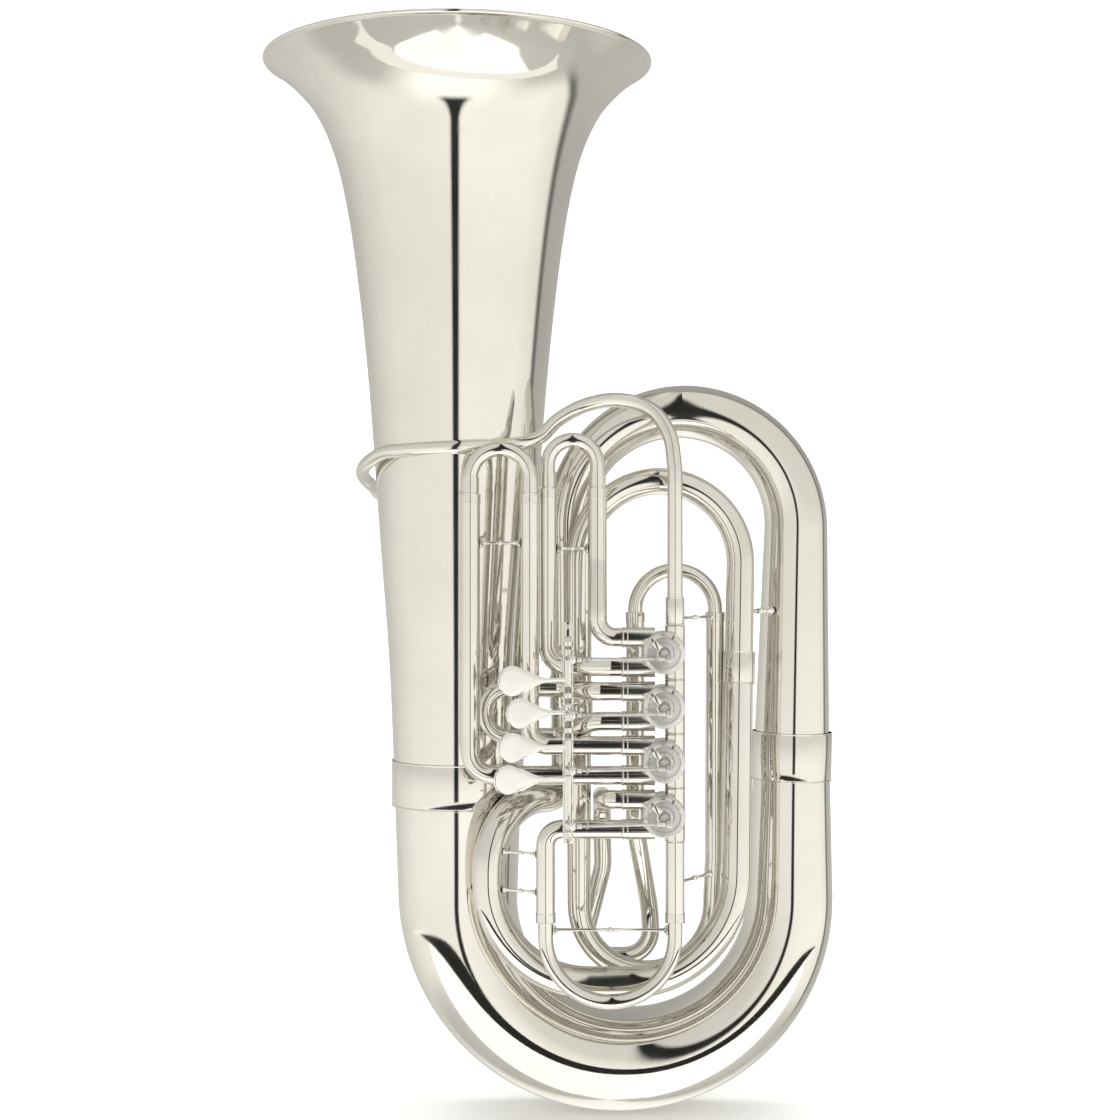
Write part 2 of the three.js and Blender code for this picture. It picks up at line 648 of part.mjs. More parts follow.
function paddleShape() {
  const shape = new THREE.Shape();
  shape.moveTo(52, -1.8);
  shape.quadraticCurveTo(26, -3, 10, -10.5);
  shape.absarc(0, 0, 14, -0.82, 0.82, true);
  shape.quadraticCurveTo(26, 3, 52, 1.8);
  shape.closePath();
  return shape;
}

function lever(i) {
  const [low, high] = BARREL_SPAN[i];
  const linkZ = valveZ[i] - LINK_DROP;
  const reach = HINGE_X - PADDLE_X[i];
  const lift = 14;
  const depth = 2.4;
  const plate = new THREE.ExtrudeGeometry(paddleShape(), { depth, bevelEnabled: false, curveSegments: 6 });
  plate.scale(Math.hypot(reach, lift) / 52, 1, 1);
  plate.rotateX(Math.PI / 2);
  plate.rotateZ(Math.atan2(lift, reach));
  plate.translate(PADDLE_X[i], HINGE_Y - lift, PADDLE_Z[i]);
  const tip = at(ARM_TIP.x, ARM_TIP.y, linkZ);
  const body = join(
    rod(at(HINGE_X, HINGE_Y, low), at(HINGE_X, HINGE_Y, high), BARREL_RADIUS, MEDIUM),
    rod(at(HINGE_X, HINGE_Y, linkZ), tip, 2.2, 8),
    rod(at(tip.x, tip.y, linkZ - 3), at(tip.x, tip.y, linkZ + 3), 3.4, COARSE),
    plate,
  );
  return cut(body, rod(at(HINGE_X, HINGE_Y, low - 2), at(HINGE_X, HINGE_Y, high + 2), HINGE_RADIUS + GAP));
}

function link(i) {
  const z = valveZ[i] - LINK_DROP;
  const forkY = PLATE_FRONT - 11;
  const pinX = VALVE_X + CRANK_RADIUS * Math.SQRT1_2;
  const start = at(ARM_TIP.x + 3.4 + GAP, ARM_TIP.y - 0.2, z);
  const end = at(pinX, forkY - 2.6, z);
  return join(rod(start, end, LINK_RADIUS, 8), rod(at(pinX, forkY, z), at(pinX, forkY - 5, z), 4));
}

valveZ.forEach((_, i) => {
  piece(`lever_${i + 1}`, lever(i), BRIGHT);
  piece(`link_${i + 1}`, link(i), STEEL);
});

piece(
  "hinge_rod",
  rod(at(HINGE_X, HINGE_Y, HINGE_LOW_Z), at(HINGE_X, HINGE_Y, HINGE_TOP_Z), HINGE_RADIUS),
  STEEL,
);

function leverRack() {
  const barBack = VALVE_Y - SLEEVE_RADIUS - 0.5;
  const barFront = barBack - 3;
  const lugs = LUG_Z.map((z) => {
    const low = at(HINGE_X - 5, HINGE_Y - 4.5, z - 2.5);
    const high = at(HINGE_X + 5, barFront + 1, z + 2.5);
    return block(low, high);
  });
  const bar = block(at(HINGE_X - 5, barFront, RACK_LOW_Z), at(HINGE_X + 5, barBack, RACK_TOP_Z));
  const past = [at(HINGE_X, HINGE_Y, HINGE_LOW_Z - 12), at(HINGE_X, HINGE_Y, HINGE_TOP_Z + 12)];
  return cut(join(bar, ...lugs), rod(...past, HINGE_RADIUS + GAP));
}

piece("lever_rack", leverRack(), SILVER);

// ---------------------------------------------------------------- braces
// A brace is a turned bar with a round foot at each end, just clear of the two tubes it spans.
function brace(name, from, to, barRadius = 1.8, footRadius = 5) {
  const axis = to.clone().sub(from).normalize();
  const footA = from.clone().addScaledVector(axis, 2);
  const footB = to.clone().addScaledVector(axis, -2);
  const shape = join(
    rod(from, to, barRadius, 6),
    rod(from, footA, footRadius),
    rod(footB, to, footRadius),
  );
  piece(name, shape, BRIGHT);
}

const offTube = SLEEVE_RADIUS + GAP;
brace(
  "third_brace",
  at(THIRD_LEFT_X + offTube, VALVE_Y, 566),
  at(THIRD_RIGHT_X - offTube, VALVE_Y, 566),
);
brace(
  "first_brace",
  at(FIRST_LEFT_X + offTube, FIRST_Y, 561),
  at(FIRST_RIGHT_X - offTube, FIRST_Y, 561),
);
brace(
  "fourth_brace",
  at(FOURTH_LEFT_X + TUBE_RADIUS + GAP, VALVE_Y, 201),
  at(PORT_X - TUBE_RADIUS - GAP, VALVE_Y, 201),
);
brace("outer_brace", at(133.2, -43.4, 500), at(156.1, -23.4, 500), 2.2, 4.5);
brace("tuning_brace", at(61.5, -101.6, 495), at(93.6, -53.1, 495), 1.8, 3.5);
brace("bell_brace", at(-141, -69.5, 452), at(-138.5, -100.6, 452), 3, 7);
brace("side_brace", at(61.2, -102.1, 245), at(92.6, -54, 245), 1.8, 3.5);
brace("loop_brace_top", at(-105.4, -91.4, 272), at(-74.6, -105.9, 272), 1.6, 3.6);
brace("loop_brace_low", at(-105.4, -91.3, 236), at(-74.6, -105.9, 236), 1.6, 3.6);

export default root;
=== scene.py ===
import math

import bmesh
import bpy
from mathutils import Matrix, Vector


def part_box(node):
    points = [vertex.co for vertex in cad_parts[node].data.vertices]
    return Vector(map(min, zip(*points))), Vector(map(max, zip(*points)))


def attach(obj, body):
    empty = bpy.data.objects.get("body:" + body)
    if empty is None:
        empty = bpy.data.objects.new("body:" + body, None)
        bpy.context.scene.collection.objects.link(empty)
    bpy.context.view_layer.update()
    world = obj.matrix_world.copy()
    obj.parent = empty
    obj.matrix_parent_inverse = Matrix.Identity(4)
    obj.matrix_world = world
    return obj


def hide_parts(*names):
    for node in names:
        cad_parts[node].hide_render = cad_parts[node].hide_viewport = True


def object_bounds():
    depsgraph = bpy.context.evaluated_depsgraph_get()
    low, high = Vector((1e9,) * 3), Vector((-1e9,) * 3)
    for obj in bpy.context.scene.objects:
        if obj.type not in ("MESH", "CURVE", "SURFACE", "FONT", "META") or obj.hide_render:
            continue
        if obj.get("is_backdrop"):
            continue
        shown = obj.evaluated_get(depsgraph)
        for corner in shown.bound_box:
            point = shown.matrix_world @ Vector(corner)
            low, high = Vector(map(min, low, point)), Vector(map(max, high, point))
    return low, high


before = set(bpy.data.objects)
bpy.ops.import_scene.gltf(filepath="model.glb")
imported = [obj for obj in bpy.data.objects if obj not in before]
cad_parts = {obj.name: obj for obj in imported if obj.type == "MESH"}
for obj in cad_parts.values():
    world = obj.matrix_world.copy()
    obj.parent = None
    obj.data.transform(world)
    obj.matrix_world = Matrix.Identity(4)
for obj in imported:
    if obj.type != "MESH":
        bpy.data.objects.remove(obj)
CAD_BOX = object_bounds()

# The looks of a four-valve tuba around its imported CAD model. Every length below is in millimetres
# in the CAD frame unless its comment says metres, and shapes are scaled to metres as they are made.
MM = 0.001

# ---- the CAD model's own dimensions
GAP = 0.3  # between the CAD's neighbouring solids
BEND_SLACK = 0.1  # what a return bend's radius lacks of half the distance between its legs
WALL = 0.8
TUBE_WALL = 0.9
BELL_X = -154.5
RIM_Z = 1044.0
RIM_RADIUS = 191.0
BELL_END_Z = 331.0
BELL_END_RADIUS = 63.4
BOW_Z = 217.0
BOW_RIGHT_X = 175.5
BOW_JOINT_X = 179.0
BOW_JOINT_Z = 355.0
BOW_END_RADIUS = 37.6
OUTER_RIGHT_X = 185.5
TOP_CENTRE_Z = 583.0
TOP_LEFT_X = -45.0
TOP_JOINT_Z = 420.0
TOP_END_RADIUS = 16.6
LOOP_START_RADIUS = 16.4
LOOP_LEFT_X = -121.0
LOOP_Y = -84.0
LOOP_HIGH_Z = 318.0
LOOP_LOW_Z = 146.0
ARCH_START_X = 121.0
ARCH_START_Y = -57.0
ARCH_START_RADIUS = 13.8
ARCH_END_RADIUS = 12.2
INNER_Y = -45.0
INNER_LEFT_X = -34.0
INNER_RIGHT_X = 125.0
INNER_TOP_Z = 627.0
INNER_JOINT_Z = 445.0
INNER_LEFT_JOINT_Z = 400.0
INNER_BOW_Z = 148.0
VALVE_X = 45.0
PORT_X = 56.0
VALVE_Y = -110.0
VALVE_Z = [463.0, 412.0, 361.0, 310.0]
VALVE_PITCH = 51.0
PORT_OFFSET = 14.0
STUB_REACH = 39.5
CASING_HALF = 18.0
PLATE_FRONT = VALVE_Y - CASING_HALF - 4
TUBE_RADIUS = 7.1
SLEEVE_RADIUS = 9.0
LEAD_Z = 622.0
LEAD_RING_RADIUS = 95.0
LEAD_START_RADIUS = 6.4
LEAD_END_RADIUS = 7.4
LEAD_BAND_TOP_Z = 515.0
FIRST_Y = -96.0
FIRST_LEFT_X = -64.0
FIRST_RIGHT_X = -17.0
FIRST_TOP_Z = 664.0
FIRST_END_Z = 618.0
THIRD_LEFT_X = -137.0
THIRD_RIGHT_X = -81.0
THIRD_TOP_Z = 655.0
THIRD_END_Z = 612.0
SECOND_Y = -88.0
SECOND_CROOK_X = -124.0
SECOND_TOP_Z = 428.0
SECOND_LOW_Z = 381.0
SECOND_END_X = -92.0
FOURTH_LEFT_X = -66.0
FOURTH_BOTTOM_Z = 133.0
FOURTH_END_Z = 208.0
TUNING_LEFT_X = 21.0
TUNING_RIGHT_X = 99.0
TUNING_TOP_Z = 540.0
TUNING_END_Z = 499.0
ENTRY_X = -11.5
ENTRY_Y = -14.0
ENTRY_LOW_Z = 157.0
SLIDE_INSERT = 60.0
HINGE_X = -45.0
HINGE_Y = -130.0
LEVER_ARM = 30.0
LEVER_REST_DEG = 8.0
CRANK_RADIUS = 6.0
LINK_DROP = 4.6
PADDLE_Z = [438.0, 408.0, 376.0, 346.0]
PADDLE_X = [-97.0, -90.0, -97.0, -101.0]
BARREL_SPAN = [(432.0, 466.0), (400.0, 415.0), (350.0, 382.0), (299.0, 348.5)]
LUG_Z = [294.0, 391.0, 423.5, 472.0]
RACK_SCREW_Z = [330.0, 405.0]
SPRING_SPAN = [(383.5, 388.0), (392.5, 399.4), (416.0, 420.7), (426.0, 431.4), (467.0, 469.4)]
THIRD_BRACE_Z = 566.0
FIRST_BRACE_Z = 561.0
FOURTH_BRACE_Z = 201.0
OUTER_BRACE_Z = 500.0
TUNING_BRACE_Z = 495.0
BELL_BRACE_Z = 452.0
SIDE_BRACE_Z = 245.0
LOOP_BRACE_TOP_Z = 272.0
LOOP_BRACE_LOW_Z = 236.0

# ---- details the CAD leaves out
DRUM_RADIUS = 18.2
PORT_RADIUS = 9.6
PORT_BORE = 6.2
PORT_BAND_RADIUS = 9.55
CORK_RING_RADIUS = 16.6
CORK_DEGREES = (62, 133)
PLATE_SCREW_RADIUS = 15.2
PLATE_SCREW_DEGREES = (25, 155)
END_RING_LENGTH = 9.0
PAD_RADIUS = 14.0
PAD_SHOULDER_X = 9.5  # where the round pad's edge turns into the arm's
PAD_SHOULDER_HALF = 10.28
PADDLE_LIFT = 14.0
PADDLE_ARM_HALF = 2.2
THREAD_TURNS = 9
THREAD_ROOT = 1.35
THREAD_CREST = 1.6

UP = Vector((0, 0, 1))
FRONT = Vector((0, -1, 0))


def at(x, y, z):
    return Vector((x, y, z))


# ---- procedural metals
def node(tree, kind, **values):
    made = tree.nodes.new(kind)
    for key, value in values.items():
        if key in made.inputs:
            made.inputs[key].default_value = value
        else:
            setattr(made, key.lower(), value)
    return made


def ramp(tree, source, stops):
    made = tree.nodes.new("ShaderNodeValToRGB")
    while len(made.color_ramp.elements) < len(stops):
        made.color_ramp.elements.new(0.5)
    for element, (place, colour) in zip(made.color_ramp.elements, stops):
        element.position = place
        element.color = (*colour, 1)
    tree.links.new(source, made.inputs["Fac"])
    return made


def stretched(tree, source, low, high, to_low=0.0, to_high=1.0):
    """A Map Range node from low..high to to_low..to_high."""
    made = node(tree, "ShaderNodeMapRange")
    for name, value in zip(("From Min", "From Max", "To Min", "To Max"), (low, high, to_low, to_high)):
        made.inputs[name].default_value = value
    tree.links.new(source, made.inputs["Value"])
    return made


def new_material(name):
    made = bpy.data.materials.new(name)
    made.use_nodes = True
    tree = made.node_tree
    return made, tree, tree.nodes["Principled BSDF"], node(tree, "ShaderNodeTexCoord")


def metal(name, light, dark, smooth, rough, cloud=9.0, brush=(1, 1, 1), bump=0.02):
    """A plated or brushed metal: cloudy tarnish, smears in the gloss, fine scratches in the bump."""
    made, tree, shader, place = new_material(name)
    shader.inputs["Metallic"].default_value = 1.0
    haze = node(tree, "ShaderNodeTexNoise", Scale=cloud, Detail=6.0, Roughness=0.62)
    tree.links.new(place.outputs["Object"], haze.inputs["Vector"])
    colour = ramp(tree, haze.outputs["Fac"], [(0.32, dark), (0.62, light)])
    edges = node(tree, "ShaderNodeNewGeometry")
    rubbed = (0.97, 0.96, 0.94)
    worn = ramp(tree, edges.outputs["Pointiness"], [(0.42, dark), (0.5, light), (0.6, rubbed)])
    blend = node(tree, "ShaderNodeMix", Data_Type="RGBA")
    blend.blend_type = "MULTIPLY"
    blend.inputs["Factor"].default_value = 0.35
    tree.links.new(colour.outputs["Color"], blend.inputs["A"])
    tree.links.new(worn.outputs["Color"], blend.inputs["B"])
    tree.links.new(blend.outputs["Result"], shader.inputs["Base Color"])
    stretch = node(tree, "ShaderNodeMapping")
    stretch.inputs["Scale"].default_value = brush
    tree.links.new(place.outputs["Object"], stretch.inputs["Vector"])
    smear = node(tree, "ShaderNodeTexNoise", Scale=34.0, Detail=4.0, Roughness=0.5)
    tree.links.new(stretch.outputs["Vector"], smear.inputs["Vector"])
    gloss = stretched(tree, smear.outputs["Fac"], 0.3, 0.7, smooth, rough)
    tree.links.new(gloss.outputs["Result"], shader.inputs["Roughness"])
    grain = node(tree, "ShaderNodeTexNoise", Scale=620.0, Detail=3.0, Roughness=0.7)
    tree.links.new(stretch.outputs["Vector"], grain.inputs["Vector"])
    relief = node(tree, "ShaderNodeBump", Strength=bump, Distance=0.0004)
    tree.links.new(grain.outputs["Fac"], relief.inputs["Height"])
    tree.links.new(relief.outputs["Normal"], shader.inputs["Normal"])
    return made


SILVER = metal("polished_silver", (0.83, 0.815, 0.775), (0.77, 0.75, 0.705), 0.03, 0.075)
BRIGHT = metal("bright_silver", (0.88, 0.87, 0.845), (0.79, 0.775, 0.745), 0.07, 0.15, 30.0, bump=0.05)
SATIN = metal("satin_silver", (0.8, 0.795, 0.78), (0.64, 0.635, 0.62), 0.2, 0.34, 24.0, bump=0.12)
STEEL = metal("rod_steel", (0.74, 0.735, 0.72), (0.56, 0.555, 0.545), 0.14, 0.26, 40.0, (1, 1, 9), 0.1)
SPRING = metal("spring_steel", (0.5, 0.49, 0.47), (0.33, 0.32, 0.31), 0.2, 0.34, 90.0, bump=0.1)


def cork_material():
    made, tree, shader, place = new_material("bumper_cork")
    cells = node(tree, "ShaderNodeTexVoronoi", Scale=900.0)
    tree.links.new(place.outputs["Object"], cells.inputs["Vector"])
    stops = [(0.1, (0.05, 0.04, 0.035)), (0.6, (0.16, 0.13, 0.11))]
    colour = ramp(tree, cells.outputs["Distance"], stops)
    tree.links.new(colour.outputs["Color"], shader.inputs["Base Color"])
    shader.inputs["Roughness"].default_value = 0.85
    relief = node(tree, "ShaderNodeBump", Strength=0.4, Distance=0.0003)
    tree.links.new(cells.outputs["Distance"], relief.inputs["Height"])
    tree.links.new(relief.outputs["Normal"], shader.inputs["Normal"])
    return made


CORK = cork_material()


# ---- shapes: (vertices, faces) in mm
POLE_RADIUS = 1e-4
LEAST_STEP = 0.5


def joined(*shapes):
    verts, faces = [], []
    for part_verts, part_faces in shapes:
        base = len(verts)
        verts += part_verts
        faces += [tuple(base + i for i in face) for face in part_faces]
    return verts, faces


def lathe(origin, axis, profile, sides=48):
    """Turns an outline of (radius, distance along the axis) round the axis, closed or pole to pole."""
    turn = UP.rotation_difference(Vector(axis).normalized())
    verts, rings = [], []
    for radius, along in profile:
        if radius < POLE_RADIUS:
            rings.append([len(verts)])
            verts.append(origin + turn @ at(0, 0, along))
            continue
        ring = []
        for k in range(sides):
            angle = 2 * math.pi * k / sides
            ring.append(len(verts))
            verts.append(origin + turn @ at(radius * math.cos(angle), radius * math.sin(angle), along))
        rings.append(ring)
    has_poles = len(rings[0]) == 1 and len(rings[-1]) == 1
    pairs = list(zip(rings, rings[1:]))
    if not has_poles:
        pairs.append((rings[-1], rings[0]))
    faces = []
    for low, high in pairs:
        if len(low) == 1 and len(high) == 1:
            continue
        for k in range(sides):
            nxt = (k + 1) % sides
            if len(low) == 1:
                faces.append((low[0], high[nxt], high[k]))
            elif len(high) == 1:
                faces.append((low[k], low[nxt], high[0]))
            else:
                faces.append((low[k], low[nxt], high[nxt], high[k]))
    return verts, faces


def rounded(radius, low, high, bevel=0.5, steps=4):
    """The outline of a solid disc or bar with rounded edges, for lathe."""
    outline = [(0, low)]
    for k in range(steps + 1):
        angle = math.pi / 2 * k / steps
        outline.append((radius - bevel + bevel * math.sin(angle), low + bevel - bevel * math.cos(angle)))
    for k in range(steps + 1):
        angle = math.pi / 2 * k / steps
        edge = high - bevel + bevel * math.sin(angle)
        outline.append((radius - bevel + bevel * math.cos(angle), edge))
    outline.append((0, high))
    return outline


def torus(centre, axis, ring_radius, wire, sides=48, steps=10):
    outline = []
    for k in range(steps):
        angle = 2 * math.pi * k / steps
        outline.append((ring_radius + wire * math.cos(angle), wire * math.sin(angle)))
    return lathe(centre, axis, outline, sides)


def slab(low, high, bevel, turn=None):
    """A bevelled block between two corners, turned about its own centre if asked."""
    work = bmesh.new()
    bmesh.ops.create_cube(work, size=1.0)
    size = high - low
    middle = (low + high) / 2
    bmesh.ops.scale(work, vec=size, verts=work.verts)
    bmesh.ops.bevel(work, geom=work.edges[:], offset=bevel, segments=3, profile=0.5, affect="EDGES")
    verts = []
    for vert in work.verts:
        place = vert.co.copy()
        if turn is not None:
            place = turn @ place
        verts.append(place + middle)
    faces = [tuple(vert.index for vert in face.verts) for face in work.faces]
    work.free()
    return verts, faces


def route(corners, step=5.0):
    """(point, tangent) stations along straight runs joined by true arcs, one bend radius a corner."""
    points = [at(*corner[:3]) for corner in corners]
    stations = [(points[0], (points[1] - points[0]).normalized())]

    def add(point, tangent):
        if (point - stations[-1][0]).length > LEAST_STEP:
            stations.append((point, tangent.normalized()))

    for i in range(1, len(points) - 1):
        incoming = (points[i] - points[i - 1]).normalized()
        outgoing = (points[i + 1] - points[i]).normalized()
        angle = incoming.angle(outgoing)
        bend = corners[i][3]
        start = points[i] - incoming * bend * math.tan(angle / 2)
        inward = (outgoing - incoming * outgoing.dot(incoming)).normalized()
        centre = start + inward * bend
        count = max(4, math.ceil(math.degrees(angle) / step))
        for k in range(count + 1):
            turned = angle * k / count
            place = centre - inward * bend * math.cos(turned) + incoming * bend * math.sin(turned)
            add(place, incoming * math.cos(turned) + inward * math.sin(turned))
    add(points[-1], points[-1] - points[-2])
    return stations


def smooth_curve(points, steps):
    """Centripetal Catmull-Rom stations through the points, as the CAD leadpipe has."""
    ends = [2 * points[0] - points[1], *points, 2 * points[-1] - points[-2]]
    stations = []
    for i in range(len(points) - 1):
        before, here, there, after = ends[i : i + 4]
        knots = [0.0]
        for one, two in ((before, here), (here, there), (there, after)):
            knots.append(knots[-1] + max((two - one).length ** 0.5, 1e-6))
        last = steps if i == len(points) - 2 else steps - 1
        for k in range(last + 1):
            t = knots[1] + (knots[2] - knots[1]) * k / steps

            def mix(one, two, low, high):
                return one * ((high - t) / (high - low)) + two * ((t - low) / (high - low))

            a = mix(before, here, knots[0], knots[1])
            b = mix(here, there, knots[1], knots[2])
            c = mix(there, after, knots[2], knots[3])
            low_half = mix(a, b, knots[0], knots[2])
            high_half = mix(b, c, knots[1], knots[3])
            stations.append(mix(low_half, high_half, knots[1], knots[2]))
    tangents = []
    for i in range(len(stations)):
        low = stations[max(i - 1, 0)]
        high = stations[min(i + 1, len(stations) - 1)]
        tangents.append((high - low).normalized())
    return list(zip(stations, tangents))


def tube(stations, start_radius, end_radius, wall, sides=40):
    """A hollow tube with an even taper, its frame carried along without twist."""
    lengths = [0.0]
    for (one, _), (two, _) in zip(stations, stations[1:]):
        lengths.append(lengths[-1] + (two - one).length)
    tangent = stations[0][1]
    side = tangent.orthogonal().normalized()
    outer, inner = [], []
    for (point, heading), run in zip(stations, lengths):
        side = tangent.rotation_difference(heading) @ side
        side = (side - heading * side.dot(heading)).normalized()
        tangent = heading
        other = heading.cross(side)
        radius = start_radius + (end_radius - start_radius) * run / lengths[-1]
        for ring, size in ((outer, radius), (inner, radius - wall)):
            for k in range(sides):
                angle = 2 * math.pi * k / sides
                ring.append(point + (side * math.cos(angle) + other * math.sin(angle)) * size)
    count = len(stations)
    verts = outer + inner
    faces = []
    for i in range(count - 1):
        for k in range(sides):
            a = i * sides + k
            b = i * sides + (k + 1) % sides
            faces.append((a, b, b + sides, a + sides))
            inside = count * sides
            faces.append((inside + b, inside + a, inside + a + sides, inside + b + sides))
    for k in range(sides):
        a, b = k, (k + 1) % sides
        inside = count * sides
        faces.append((b, a, inside + a, inside + b))
        end = (count - 1) * sides
        faces.append((end + a, end + b, inside + end + b, inside + end + a))
    return verts, faces


def coil(centre, axis, radius, wire, length, turns, sides=8, per_turn=18):
    """A coil spring as one tube along a helix."""
    turn = UP.rotation_difference(Vector(axis).normalized())
    stations = []
    total = int(turns * per_turn)
    for k in range(total + 1):
        angle = 2 * math.pi * k / per_turn
        along = length * k / total
        place = at(radius * math.cos(angle), radius * math.sin(angle), along)
        heading = at(-math.sin(angle) * radius, math.cos(angle) * radius, length / (2 * math.pi * turns))
        stations.append((centre + turn @ place, (turn @ heading).normalized()))
    return tube(stations, wire, wire, wire * 0.6, sides)


def placed(name, verts, faces, material):
    mesh = bpy.data.meshes.new(name)
    mesh.from_pydata([vert * MM for vert in verts], [], faces)
    mesh.materials.append(material)
    made = bpy.data.objects.new(name, mesh)
    bpy.context.scene.collection.objects.link(made)
    return made


def piece(name, shape, material, body="body", stands_for=(), sharp=32.0):
    """One visible piece, smooth but for edges past sharp degrees, on its body and for its CAD nodes."""
    made = placed(name, *shape, material)
    mesh = made.data
    mesh.validate()
    work = bmesh.new()
    work.from_mesh(mesh)
    bmesh.ops.recalc_face_normals(work, faces=work.faces[:])
    work.to_mesh(mesh)
    work.free()
    for polygon in mesh.polygons:
        polygon.use_smooth = True
    mesh.set_sharp_from_angle(angle=math.radians(sharp))
    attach(made, body)
    if stands_for:
        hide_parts(*stands_for)


def ferrule(start, end, inner, outer, bead, lines, sides):
    """A sleeve round a joint with a rolled bead at each end and, if asked, two engraved lines."""
    length = (end - start).length
    swell, line_half, line_depth = 1.1, 0.5, 0.25
    line_at = 3.6 * bead
    rolls = []
    for base in (0.0, length - 2 * swell * bead):
        roll = []
        for k in range(7):
            angle = math.pi * k / 6
            rise = bead * (1 - math.cos(angle)) * swell
            roll.append((outer + bead * math.sin(angle), base + rise))
        rolls.append(roll)
    outline = [(inner, 0.0), (outer - 0.1, 0.0), *rolls[0]]
    if lines:
        for place in (line_at, length - line_at):
            outline += [(outer, place - line_half), (outer - line_depth, place)]
            outline.append((outer, place + line_half))
    outline += [*rolls[1], (outer - 0.1, length), (inner, length)]
    return lathe(start, end - start, outline, sides)


def band(name, stands_for, start, end, inner, outer, bead, sides=56):
    """The engraved ferrule over a soldered joint."""
    piece(name, ferrule(start, end, inner, outer, bead, True, sides), SILVER, stands_for=(stands_for,))


def brace(name, one, two, z, waist, foot, body="body"):
    """A level turned bar from (x, y) to (x, y): feet, slim legs, and a ball at the middle."""
    start, end = at(*one, z), at(*two, z)
    length = (end - start).length
    outline = [(0, 0), (foot, 0), (foot, 0.8), (foot * 0.72, 1.5)]
    outline += [(waist * 1.05, 3.2), (waist * 0.8, length * 0.25), (waist * 0.8, length * 0.4)]
    middle = length / 2
    ball_size = waist * 1.5
    outline += [(waist * 1.15, middle - ball_size * 1.5), (waist * 0.75, middle - ball_size * 1.1)]
    for k in range(1, 8):
        angle = math.pi * k / 8
        outline.append((ball_size * math.sin(angle), middle - ball_size * math.cos(angle)))
    outline += [(radius, length - along) for radius, along in reversed(outline[:9])]
    piece(name, lathe(start, end - start, outline, 28), BRIGHT, body, (name,))


def end_ring(point, axis):
    """The thicker ring soldered round the open end of a slide's outer leg."""
    start = point - axis * END_RING_LENGTH
    return ferrule(start, point, SLEEVE_RADIUS - 0.2, SLEEVE_RADIUS + 0.5, 0.35, False, 40)


# ---- camera, floor and lights
CAMERA_AT = (-0.0525, -1.95, 0.55)  # metres
FRAME_WIDTH = 1.12  # metres across the frame at the tuba's middle plane
SENSOR_WIDTH = 36.0
FLOOR_SIDE = 9000.0
WALL_Y = 3400.0
WALL_TOP_Z = 7000.0
WALL_BEND = 1400.0
WALL_BEND_STEPS = 24
CARD_RADIUS = 1050.0
CARD_TOP_Z = -125.0
CARD_STEPS = 48
CARD_LEAST = 0.02

camera_data = bpy.data.cameras.new("camera")
camera_data.sensor_width = SENSOR_WIDTH
camera_data.lens = SENSOR_WIDTH * -CAMERA_AT[1] / FRAME_WIDTH
camera_data.clip_end = 60.0
camera = bpy.data.objects.new("camera", camera_data)
camera.location = CAMERA_AT
camera.rotation_euler = (math.pi / 2, 0, 0)
bpy.context.scene.collection.objects.link(camera)
bpy.context.scene.camera = camera


def floor_material():
    made, tree, shader, place = new_material("studio_paper")
    fibre = node(tree, "ShaderNodeTexNoise", Scale=3.0, Detail=5.0, Roughness=0.6)
    tree.links.new(place.outputs["Object"], fibre.inputs["Vector"])
    stops = [(0.3, (0.86, 0.86, 0.855)), (0.7, (0.88, 0.88, 0.875))]
    colour = ramp(tree, fibre.outputs["Fac"], stops)
    tree.links.new(colour.outputs["Color"], shader.inputs["Base Color"])
    shader.inputs["Roughness"].default_value = 0.9
    return made


def backdrop():
    """Pale paper: a floor that curves up into a wall behind the tuba."""
    low = CAD_BOX[0][2] / MM - 1.0
    foot = WALL_Y - WALL_BEND
    line = [(-FLOOR_SIDE, low), (foot, low)]
    for k in range(1, WALL_BEND_STEPS + 1):
        angle = math.pi / 2 * k / WALL_BEND_STEPS
        line.append((foot + WALL_BEND * math.sin(angle), low + WALL_BEND * (1 - math.cos(angle))))
    line.append((WALL_Y, WALL_TOP_Z))
    verts, faces = [], []
    for y, z in line:
        verts += [at(-FLOOR_SIDE, y, z), at(FLOOR_SIDE, y, z)]
    for k in range(len(line) - 1):
        faces.append((2 * k, 2 * k + 1, 2 * k + 3, 2 * k + 2))
    made = placed("studio_floor", verts, faces, floor_material())
    for polygon in made.data.polygons:
        polygon.use_smooth = True
    made.visible_glossy = False
    made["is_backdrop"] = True


backdrop()


